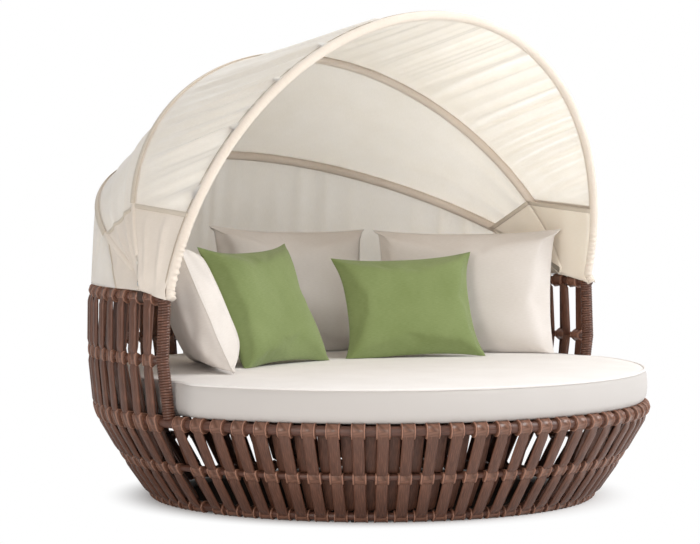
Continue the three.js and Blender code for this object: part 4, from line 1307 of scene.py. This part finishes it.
    def sleeve(self, name: str, edge: Edge, start: float, ruffle: float) -> Object:
        """The cloth sleeve round a hoop.

        Args:
            name: the piece's name.
            edge: the hoop's centre line.
            start: length at which it starts, and that it leaves free at the end.
            ruffle: length of the puckered part at each end, or 0.

        Returns:
            The sleeve.
        """
        sides, step, plain, height, spacing = 14, 0.003, 0.0004, 0.0030, 0.018
        marks = np.linspace(start, edge.length - start, int((edge.length - 2 * start) / step))
        path = [Vector(p) for p in edge.at(marks)]
        rings = tube_rings(path, 1.0, sides)
        uvs = []
        for middle, mark, ring in zip(path, marks, rings):
            arc = min(mark - start, edge.length - start - mark)
            pucker = plain + height * smoothstep(ruffle, ruffle * 0.5, arc) if ruffle else 0.0
            open_side = Vector((-0.45 * math.copysign(1.0, middle.x), -0.89, 0.0))
            wave = math.sin(mark * FULL_TURN / spacing + 1.6 * math.sin(mark * 47))
            wave *= 0.65 + 0.35 * math.sin(mark * 83)
            for j, point in enumerate(ring):
                shown = max(0.0, (point - middle).dot(open_side))
                ring[j] = middle + (point - middle) * (self.sleeve_radius + pucker * wave * shown)
                uvs.append((FULL_TURN * j / sides * self.hoop_tube, mark))
        return make_skin(name, rings, self.palette.sleeve, uvs)

    def seam_line(
        self,
        name: str,
        edges: tuple[Edge, Edge],
        start: float,
        band: tuple[float, float],
        finish: Material,
    ) -> Object:
        """A band of cloth sewn along a hoop outside the panels.

        Args:
            name: the piece's name.
            edges: the hoop's centre line and the edge on the panel's far side.
            start: length at which it starts, and that it leaves free at the end.
            band: distances from the hoop's middle, towards the other edge, that it lies between.
            finish: its material.

        Returns:
            The seam.
        """
        edge, other = edges
        step, high, low, flat_half, hoop_width = 0.012, 0.0022, 0.0006, 0.004, 0.0148
        marks = np.linspace(start, edge.length - start, int((edge.length - 2 * start) / step))
        middle = edge.at(marks)
        way = other.at(marks * other.length / edge.length) - middle
        way /= np.maximum(np.linalg.norm(way, axis=1, keepdims=True), 1e-6)
        out = middle - self.centre
        out -= way * (out * way).sum(axis=1, keepdims=True)
        out /= np.linalg.norm(out, axis=1, keepdims=True)
        rings, uvs = [], []
        for i, mark in enumerate(marks):
            loop = []
            for k in range(8):
                w = band[0] + (band[1] - band[0]) * min(k, 7 - k) / 3
                drop = 0.35 * max(0.0, abs(w) - flat_half) ** 2 / hoop_width
                reach = self.sleeve_radius + (high if k < 4 else low) - drop
                loop.append(Vector(middle[i] + way[i] * w + out[i] * reach))
                uvs.append((w, mark))
            rings.append(loop)
        return make_skin(name, rings, finish, uvs)

    def ties(self) -> None:
        """Loops of webbing that hold the hem to the top rail between the straps."""
        inner, wall, half, lift, steps = 0.0158, 0.0010, 0.0045, 0.004, 24
        ring, straps = self.ties_ring, self.ties_run
        rings, uvs = [], []
        for k in range(steps):
            turn = FULL_TURN * k / steps
            rise = lift if math.sin(turn) > 0.5 else 0.0
            loop = []
            for w, reach in ((-half, inner), (half, inner), (half, inner + wall), (-half, inner + wall)):
                out, up = (reach + rise) * math.cos(turn), (reach + rise) * math.sin(turn)
                loop.append(Vector((w, -ring.radius - out, ring.height + up)))
                uvs.append((w, turn * inner))
            rings.append(loop)
        template = make_skin("hem_ties", rings, self.palette.canopy, uvs, closed=True)
        run = Run(9, straps.first + straps.pitch * 1.5, straps.pitch * 3)
        made = self.repeat.bake(template, run, seed=5, twist=0.4)
        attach(made, "frame")

    def fold_line(self, back_tilt: float, front_tilt: float, reach: float) -> tuple[Point, Point]:
        """Start and end of a blend, square to the plane half way between two tilts.

        Args:
            back_tilt: tilt of what is behind it, in degrees.
            front_tilt: tilt of what is in front of it.
            reach: half the blend's length.

        Returns:
            The start on the back side and the end on the front side.
        """
        lean = math.radians((back_tilt + front_tilt) / 2)
        front = Vector((0.0, -math.cos(lean), math.sin(lean)))
        return tuple(self.pivot - front * reach), tuple(self.pivot + front * reach)

    def plans(self, edges: dict[str, Edge]) -> list[PanelPlan]:
        """How each panel hangs: over the front hoop's top, and within the other hoops' sleeves.

        Args:
            edges: the hoops' centre lines by name.

        Returns:
            The three panels, front to back.
        """
        on_top, sunk = self.sleeve_radius - 0.0016, 0.0095
        inside, hem_inside = self.sleeve_radius + 2 * self.cloth_half, 0.003
        mid, rear = Hold(edges["mid"], self.mid_corner, sunk), Hold(edges["rear"], self.rear_corner, sunk)
        front_blend = self.fold_line(self.mid.tilt, self.front.tilt, 0.18)
        middle_blend = self.fold_line(self.rear.tilt, self.mid.tilt, 0.15)
        rear_blend = self.fold_line(self.hem_tilt, self.rear.tilt, 0.12)
        return [
            PanelPlan(
                name="front",
                node="canopy_front_panel",
                hoop="front",
                holds=(Hold(edges["front"], self.front_corner, on_top), mid),
                folds=Folds.diagonal,
                columns=30,
                rows=400,
                inner=inside,
                blend=("mid_hoop_body", "front_hoop_body", *front_blend),
                flat=(0.78, 2.82),
            ),
            PanelPlan(
                name="middle",
                node="canopy_mid_panel",
                hoop="mid",
                holds=(mid, rear),
                folds=Folds.tension,
                columns=26,
                rows=160,
                inner=inside,
                blend=("rear_hoop_body", "mid_hoop_body", *middle_blend),
                flat=(0.66, 2.90),
            ),
            PanelPlan(
                name="rear",
                node="canopy_rear_panel",
                hoop="rear",
                holds=(rear, Hold(self.hem_edge(), self.hem_corner, 0.0)),
                folds=Folds.hanging,
                columns=26,
                rows=300,
                inner=hem_inside,
                blend=("frame", "rear_hoop_body", *rear_blend),
                flat=(0.44, 2.92),
            ),
        ]

    def sleeves(self, edges: dict[str, Edge]) -> dict[str, Object]:
        """Makes the three sleeves with their seams, each on its hoop's body.

        Args:
            edges: the hoops' centre lines by name.

        Returns:
            The sleeves by their hoops' names.
        """
        groove, tape = (0.0070, 0.0125), (-0.0115, 0.0115)
        groove_shade, seam = self.palette.groove_shade, self.palette.seam
        jobs = [
            # The front seam is a dark band of painted shade along the groove
            ("front", "mid", 0.002, 0.25, 0.004, groove, groove_shade),
            ("mid", "front", 0.114, 0.0, self.mid_corner, tape, seam),
            ("rear", "mid", 0.114, 0.0, self.rear_corner, tape, seam),
        ]
        made = {}
        for key, other, start, ruffle, seam_start, band, finish in jobs:
            made[key] = self.sleeve(f"{key}_hoop_sleeve", edges[key], start, ruffle)
            pair = (edges[key], edges[other])
            for part in (made[key], self.seam_line(f"{key}_sleeve_seam", pair, seam_start, band, finish)):
                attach(part, f"{key}_hoop_body")
        return made

    def build(self) -> None:
        """Builds the canopy: each panel with the pieces on it, and logs each panel's cloth area."""
        edges = {key: self.hoop_edge(getattr(self, key)) for key in ("front", "mid", "rear")}
        sleeves = self.sleeves(edges)
        for plan in self.plans(edges):
            piece, tapes, area = self.panel(plan)
            extras = [tapes, *self.inner_patch(plan, "right"), *self.inner_patch(plan, "left")]
            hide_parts(plan.node)
            for part in (piece, *extras):
                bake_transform(part)
            LOG.info("canopy %s cloth: %.4f square metres", plan.name, area)
        self.ties()
        LOG.info("canopy built")


@dataclass
class Mattress:
    """The round mattress: foam in a cloth cover, its side panel coloured darker than its piped top as painted
    shade.
    """

    palette: Palette
    axis_y: float
    bottom: float
    radius: float = 0.893
    wall_radius: float = 0.8565
    wall_angle: float = 84.4
    height: float = 0.101
    crown: float = 0.009
    sag: float = 0.006
    belly: float = 0.0042
    edge_round: float = 0.017
    slack: float = 0.0012
    piping: float = 0.0042
    piping_inset: float = 0.0062
    piping_drop: float = 0.0035
    wall_ease: tuple[float, float] = (6.4, 2.4)
    steps: int = 144

    TOP_SHARES = (0.965, 0.94, 0.90, 0.84, 0.76, 0.66, 0.55, 0.43, 0.31, 0.19, 0.09)

    @property
    def seam(self) -> float:
        """Height of the seam between the side panel and the top."""
        return self.bottom + self.height

    def edge(self, angle: float) -> float:
        """Radius of the mattress at an angle from the front: smaller inside the wall."""
        away = min(angle % 360, 360 - angle % 360)
        first, last = self.wall_ease
        share = smoothstep(self.wall_angle - first, self.wall_angle - last, away)
        return self.radius + (self.wall_radius - self.radius) * share

    def point(self, angle: float, radius: float, height: float) -> Point:
        """A point round the mattress's own axis."""
        turn = math.radians(angle)
        return (radius * math.sin(turn), self.axis_y - radius * math.cos(turn), height)

    def wave(self, angle: float, share: float) -> float:
        """Height by which the cover's top sinks or stands up, in metres."""
        turn = math.radians(angle)
        spot = Vector((math.sin(turn) * share, math.cos(turn) * share, 0.0))
        broad, broad_scale, fine, fine_scale = 0.0016, 3.1, 0.0009, 8.0
        return broad * noise.noise(spot * broad_scale) + fine * noise.noise(spot * fine_scale)

    def side_levels(self) -> list[tuple[float, float]]:
        """Inset and height of each ring of the side panel: rounded below, a little full, rounded above."""
        under, seam = self.bottom - self.sag, self.seam
        levels = [(-0.030, under), (-0.018, under + 0.0015)]
        levels += [(-0.009, under + 0.006), (-0.0045, under + 0.013)]
        for k in range(1, 12):
            inset = -0.0012 + self.belly * math.sin(math.pi * k / 12)
            levels.append((inset, self.bottom + 0.008 + (self.height - 0.019) * k / 12))
        levels += [(-0.0035, seam - 0.011), (-0.0075, seam - 0.0045)]
        return [*levels, (-self.edge_round, seam + 0.0005)]

    def build(self) -> None:
        """Builds the cover and its piping."""
        levels = self.side_levels()
        angles = [360 * i / self.steps for i in range(self.steps)]
        rings, uvs = [], []
        for inset, height in levels:
            full = self.slack * math.sin(math.pi * (height - self.bottom) / self.height)
            ring = []
            for angle in angles:
                turn = math.radians(angle)
                slack = full * math.sin(turn * 23 + 2 * math.sin(turn * 5))
                ring.append(self.point(angle, self.edge(angle) + inset + slack, height))
                uvs.append((turn * self.radius, height))
            rings.append(ring)
        for share in self.TOP_SHARES:
            rise = smoothstep(1.0, 0.84, share)
            top = self.seam + 0.0005 + (self.crown - 0.0005) * rise
            ring = []
            for angle in angles:
                turn, radius = math.radians(angle), self.edge(angle) * share
                ring.append(self.point(angle, radius, top + min(0.0, self.wave(angle, share) * rise)))
                uvs.append((radius * math.sin(turn), radius * math.cos(turn)))
            rings.append(ring)
        points, faces = skin(rings, caps=False)
        last = (len(rings) - 1) * self.steps
        below, over = len(points), len(points) + 1
        low, high = self.bottom - self.sag, self.seam + self.crown - 0.0004
        points += [self.point(0, 0, low), self.point(0, 0, high)]
        uvs += [(0.0, 0.0), (0.0, 0.0)]
        for i in range(self.steps):
            j = (i + 1) % self.steps
            faces += [(below, j, i), (over, last + i, last + j)]
        cover = make_piece("mattress_cover", points, faces, self.palette.seat, uvs)
        # The side panel's points are marked for painted shade
        side = cover.data.attributes.new(WovenCloth.PAINTED_SIDE_SHADE, "FLOAT", "POINT")
        on_side = (len(levels) - 1) * self.steps
        side.data.foreach_set("value", [1.0 if i < on_side else 0.0 for i in range(len(points))])
        cover = round_off(face_out(cover))
        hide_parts("seat_mattress")
        height = self.seam - self.piping_drop
        path = [Vector(self.point(a, self.edge(a) - self.piping_inset, height)) for a in angles]
        rings = tube_rings(path, self.piping, 8, closed=True)
        piping = make_skin("mattress_top_piping", rings, self.palette.seat, closed=True)
        for piece in (cover, piping):
            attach(piece, "frame")
        LOG.info("mattress built")


@dataclass
class Cushion:
    """A loose cushion: two cloth faces sewn at the edge and swollen by their filling.

    It stands at an angle from the front and at a share of the seat's radius from its middle. It
    faces, leans and rolls by angles in degrees, and sinks into the mattress.
    """

    node: str
    size: Point
    at: float
    away: float
    faces: float
    leans: float
    rolls: float
    fill: float
    welted: bool = False
    draw_in: float = 0.055
    cap: float = 0.016
    pressure: float = 4.0
    columns: int = 44
    rows: int = 34
    seat_radius: float = 0.893
    seat_gap: float = 0.0004
    sink: float = 0.014
    welt: float = 0.0036
    seed: float = 0.0

    FRAMES = 20
    CLOTH = {
        "quality": 5,
        "mass": 0.3,
        "tension_stiffness": 18.0,
        "compression_stiffness": 18.0,
        "shear_stiffness": 6.0,
        "bending_stiffness": 0.7,
        "use_pressure": True,
        "shrink_min": 0.0,
    }

    @staticmethod
    def grid_share(step: int, steps: int) -> float:
        """Place of a grid line from -1 to 1, with the lines closer together at the edges."""
        reach = 0.94
        return math.sin(math.pi / 2 * (2 * step / steps - 1) * reach) / math.sin(math.pi / 2 * reach)

    def grid_point(self, u: float, v: float, face: int) -> Vector:
        """A point of the front face at -1, of the back face at 1 or of the seam at 0."""
        width, height, thickness = self.size
        corner, fullness, swell, uneven, lumps = 2.4, 0.62, 0.86, 0.10, 1.7
        x = width / 2 * u * (1 - self.draw_in * (1 - abs(v) ** corner))
        z = height / 2 * v * (1 - self.draw_in * (1 - abs(u) ** corner))
        crown = ((1 - u**4) * (1 - v**4)) ** fullness * thickness / 2 * swell if face else 0.0
        crown *= 1 + uneven * noise.noise(Vector((u * lumps, v * lumps, self.seed + 3.0 * face)))
        return Vector((x, face * crown, z))

    def flat_grid(self) -> tuple[list, list, list, list]:
        """Two faces sewn at the edge, before the filling swells them.

        Returns:
            Points, faces, map positions and the numbers of the points along the seam.
        """
        nu, nv = self.columns, self.rows
        points, uvs, ids, faces = [], [], {}, []

        def vertex(i: int, j: int, face: int) -> int:
            """The number of a grid point, made when first asked for."""
            face = 0 if i in (0, nu) or j in (0, nv) else face
            key = (i, j, face)
            if key not in ids:
                u, v = self.grid_share(i, nu), self.grid_share(j, nv)
                ids[key] = len(points)
                points.append(self.grid_point(u, v, face))
                uvs.append((self.size[0] / 2 * u, self.size[1] / 2 * v))
            return ids[key]

        for i in range(nu):
            for j in range(nv):
                for face in (-1, 1):
                    corners = ((i, j), (i + 1, j), (i + 1, j + 1), (i, j + 1))
                    loop = [vertex(*corner, face) for corner in corners]
                    faces.append(loop if face < 0 else loop[::-1])
        rim = [(i, 0) for i in range(nu)] + [(nu, j) for j in range(nv)]
        rim += [(i, nv) for i in range(nu, 0, -1)] + [(0, j) for j in range(nv, 0, -1)]
        return points, faces, uvs, [vertex(i, j, 0) for i, j in rim]

    @staticmethod
    def places(mesh: bpy.types.Mesh) -> Array:
        """The mesh's points as rows of three."""
        flat = np.zeros(len(mesh.vertices) * 3)
        mesh.vertices.foreach_get("co", flat)
        return flat.reshape(-1, 3)

    def swell(self, piece: Object) -> None:
        """Swells the cushion with a short cloth simulation, each point's travel capped."""
        mesh = piece.data
        start = self.places(mesh)
        cloth = piece.modifiers.new("cloth", "CLOTH")
        for name, value in self.CLOTH.items():
            setattr(cloth.settings, name, value)
        cloth.settings.uniform_pressure_force = self.pressure
        cloth.settings.effector_weights.gravity = 0.0
        cloth.point_cache.frame_start, cloth.point_cache.frame_end = 1, self.FRAMES
        scene = bpy.context.scene
        for frame in range(1, self.FRAMES + 1):
            scene.frame_set(frame)
        moved = self.places(piece.evaluated_get(bpy.context.evaluated_depsgraph_get()).data)
        piece.modifiers.remove(cloth)
        scene.frame_set(1)
        travel = moved - start
        far = np.linalg.norm(travel, axis=1, keepdims=True)
        moved = start + travel * np.minimum(1.0, self.cap / np.maximum(far, 1e-9))
        mesh.vertices.foreach_set("co", moved.ravel())
        mesh.update()

    def stand(self, places: Array, axis_y: float, seat_top: float) -> Array:
        """Brings the cushion to its size and stands it on the mattress.

        Args:
            places: its points as they are.
            axis_y: the daybed's axis.
            seat_top: height of the mattress's top.

        Returns:
            Its points where it stands.
        """
        width, height, thickness = self.size
        low, high = places.min(axis=0), places.max(axis=0)
        places = (places - (low + high) / 2) * (np.array([width, thickness, height]) / (high - low))
        turns = ((self.faces, "Z"), (-self.leans, "X"), (-self.rolls, "Y"))
        face, lean, roll = (Matrix.Rotation(math.radians(angle), 3, axis) for angle, axis in turns)
        places[:, 2] += height / 2
        places = places @ np.array(face @ lean @ roll).T
        angle, radius = math.radians(self.at), self.away * self.seat_radius
        foot = seat_top - self.sink - places[:, 2].min()
        places += np.array((radius * math.sin(angle), axis_y - radius * math.cos(angle), foot))
        # The lower edge rests on the mattress, so it is pressed flat there
        places[:, 2] = np.maximum(places[:, 2], seat_top + self.seat_gap)
        return places

    def build(self, palette: Palette, axis_y: float, seat_top: float) -> None:
        """Builds the cushion where it stands.

        Args:
            palette: the finishes.
            axis_y: the daybed's axis.
            seat_top: height of the mattress's top.
        """
        is_pillow = "pillow" in self.node
        material = palette.green if is_pillow else palette.cushion
        points, faces, uvs, rim = self.flat_grid()
        piece = make_piece(f"{self.node}_cover", points, faces, material, uvs)
        self.swell(piece)
        places = self.stand(self.places(piece.data), axis_y, seat_top)
        piece.data.vertices.foreach_set("co", places.ravel())
        piece.data.update()
        piece = round_off(face_out(piece))
        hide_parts(self.node)
        made = [piece]
        if self.welted:
            rings = tube_rings([Vector(places[i]) for i in rim], self.welt, 7, closed=True)
            made.append(make_skin(f"{self.node}_welt", rings, material, closed=True))
        for part in made:
            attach(part, "frame")
        LOG.info("%s built", self.node)


def loose_cushions() -> list[Cushion]:
    """The five loose cushions, where the photograph has them."""
    back, square = (0.665, 0.452, 0.145), (0.450, 0.450, 0.130)
    side, lumbar = (0.600, 0.420, 0.165), (0.500, 0.380, 0.125)
    soft = {"fill": 0.7, "cap": 0.024, "draw_in": 0.060}
    firm = {"fill": 0.8, "cap": 0.016, "pressure": 5.0}
    square_firm = {**firm, "seed": 13.0, "sink": 0.020, "draw_in": 0.09}
    lumbar_firm = {**firm, "seed": 17.0, "sink": 0.019, "draw_in": 0.095}
    return [
        Cushion("back_cushion_left", back, 170, 0.583, -3, 9, -1.8, seed=1.0, sink=0.025, **soft),
        Cushion("back_cushion_right", back, 107, 0.66, -50, 9, 0.7, seed=5.0, sink=0.026, **soft),
        Cushion("side_cushion", side, -107.5, 0.585, 62, 23, -2, seed=9.0, welted=True, **soft),
        Cushion("green_pillow_square", square, -117, 0.31, 13, 26, 0.6, **square_firm),
        Cushion("green_pillow_lumbar", lumbar, 108, 0.31, -26, 22, 2.2, **lumbar_firm),
    ]


def aim(made: Object, spot: Point, target: Point) -> None:
    """Places a camera or a lamp and points it at a target."""
    made.location = spot
    made.rotation_euler = (Vector(target) - Vector(spot)).to_track_quat("-Z", "Y").to_euler()


@dataclass
class Studio:
    """Plain pale floor, soft studio light and the camera at the photograph's angle."""

    axis_y: float
    distance_from_axis: tuple[float, float] = (-5.4255, -6.4521)
    eye_height: float = 1.070
    target_height: float = 0.7236
    lens: float = 132.84
    shift_x: float = -0.0318
    world_light: float = 0.49
    floor_half: float = 12.0

    def camera(self) -> None:
        """Makes the camera and makes it the scene's."""
        data = bpy.data.cameras.new("camera")
        data.sensor_width = 36.0
        data.lens = self.lens
        data.shift_x = self.shift_x
        data.clip_end = 60.0
        made = add_object("camera", data)
        side, ahead = self.distance_from_axis
        aim(made, (side, ahead + self.axis_y, self.eye_height), (0.0, self.axis_y, self.target_height))
        bpy.context.scene.camera = made

    def area(
        self, name: str, spot: Point, target: Point, size: float, watts: float, tint: str = "#FFFFFF"
    ) -> None:
        """Adds a square soft lamp.

        Args:
            name: its name.
            spot: where it hangs.
            target: what it points at.
            size: its side in metres.
            watts: its power.
            tint: its colour.
        """
        data = bpy.data.lights.new(name, "AREA")
        data.size = size
        data.energy = watts
        data.color = linear(tint)[:3]
        aim(add_object(name, data), spot, target)

    def world(self) -> None:
        """Lights the scene softly, with a white background for camera rays."""
        world = bpy.data.worlds.new("studio")
        bpy.context.scene.world = world
        world.use_nodes = True
        tree = world.node_tree
        tree.nodes.clear()
        white = linear("#FFFFFF")
        soft = add_node(tree, "ShaderNodeBackground", {"Color": white, "Strength": self.world_light})
        plain = add_node(tree, "ShaderNodeBackground", {"Color": white, "Strength": 1.0})
        path = add_node(tree, "ShaderNodeLightPath")
        inputs = {0: path.outputs["Is Camera Ray"], 1: soft.outputs[0], 2: plain.outputs[0]}
        mix = add_node(tree, "ShaderNodeMixShader", inputs)
        add_node(tree, "ShaderNodeOutputWorld", {0: mix.outputs[0]})

    def floor(self) -> None:
        """A wide pale floor, painted dark under the seat as painted shade, that turns into the white
        background away from the daybed.
        """
        material = bpy.data.materials.new("studio_floor")
        material.use_nodes = True
        tree = material.node_tree
        tree.nodes.clear()
        place = add_node(tree, "ShaderNodeTexCoord")
        away = add_node(tree, "ShaderNodeVectorMath", {0: place.outputs["Object"]}, operation="LENGTH")
        far = away.outputs["Value"]
        inputs = {"Value": far, "From Min": 0.66, "From Max": 0.88}
        share = add_node(tree, "ShaderNodeMapRange", inputs, interpolation_type="SMOOTHSTEP")
        path = add_node(tree, "ShaderNodeLightPath")
        inputs = {0: share.outputs[0], 1: path.outputs["Is Camera Ray"]}
        seen = add_node(tree, "ShaderNodeMath", inputs, operation="MULTIPLY")
        # Painted shade: the floor is coloured dark under the seat, where deep shade falls
        shade = add_node(tree, "ShaderNodeMapRange", {"Value": far, "From Min": 0.60, "From Max": 0.70})
        inputs = {0: shade.outputs[0], 6: linear("#574E48"), 7: linear("#F6F6F6")}
        painted_floor_shade = add_node(tree, "ShaderNodeMix", inputs, data_type="RGBA")
        matt = add_node(tree, "ShaderNodeBsdfDiffuse", {"Color": painted_floor_shade.outputs[2]})
        glow = add_node(tree, "ShaderNodeEmission", {"Color": linear("#FFFFFF"), "Strength": 1.0})
        inputs = {0: seen.outputs[0], 1: matt.outputs[0], 2: glow.outputs[0]}
        mix = add_node(tree, "ShaderNodeMixShader", inputs)
        add_node(tree, "ShaderNodeOutputMaterial", {0: mix.outputs[0]})
        half = self.floor_half
        corners = [(-half, -half, 0.0), (half, -half, 0.0), (half, half, 0.0), (-half, half, 0.0)]
        make_piece("studio_floor", corners, [(0, 1, 2, 3)], material)

    def build(self) -> None:
        """Builds the whole studio."""
        self.camera()
        self.floor()
        self.world()
        self.area("key_lamp", (3.4, -3.9, 4.3), (0.0, 0.1, 0.7), 3.2, 272.0)
        self.area("fill_lamp", (-5.2, -2.9, 1.5), (0.2, 0.0, 0.75), 1.3, 86.0, "#FFF8F0")
        self.area("inner_lamp", (-1.9, -3.2, 1.7), (-0.4, 0.6, 0.8), 0.9, 15.0)
        self.area("top_lamp", (1.8, 0.6, 5.0), (0.0, 0.0, 0.4), 3.4, 90.0)
        bpy.context.scene.view_settings.view_transform = "Standard"


def dress_fittings(nodes: dict[str, Object], palette: Palette) -> None:
    """Gives the hard pieces, which keep their CAD shape, a better finish.

    Args:
        nodes: the frame's CAD objects by name.
        palette: the finishes.
    """
    finishes = {
        "foot_": palette.rubber,
        "deck_": palette.steel,
        "_hoop": palette.hoop,
        "_bracket": palette.steel,
        "_bolt": palette.bolt,
        "_spacer": palette.nylon,
    }
    for name, node in nodes.items():
        for part, material in finishes.items():
            if part in name:
                node.data.materials.clear()
                node.data.materials.append(material)
                break
    LOG.info("fittings dressed")


def main() -> None:
    """Builds the daybed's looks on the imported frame."""
    logging.basicConfig(level=logging.INFO, format="%(name)s: %(message)s")
    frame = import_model()
    low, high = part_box("base_ring")
    axis_y = (low.y + high.y) / 2
    Studio(axis_y).build()
    palette = Palette()
    dress_fittings(frame["nodes"], palette)
    repeat = RoundRepeat(axis_y)
    barrel = Barrel(palette, repeat)
    barrel.dress()
    hinge = Vector(frame["joints"][0]["pos_m"])
    Canopy(palette, repeat, Vector((0.0, hinge.y, hinge.z)), barrel.top, barrel.back_run).build()
    seat_low, seat_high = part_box("seat_mattress")
    Mattress(palette, axis_y, seat_low.z).build()
    for cushion in loose_cushions():
        cushion.build(palette, axis_y, seat_high.z)


if __name__ == "__main__":
    main()
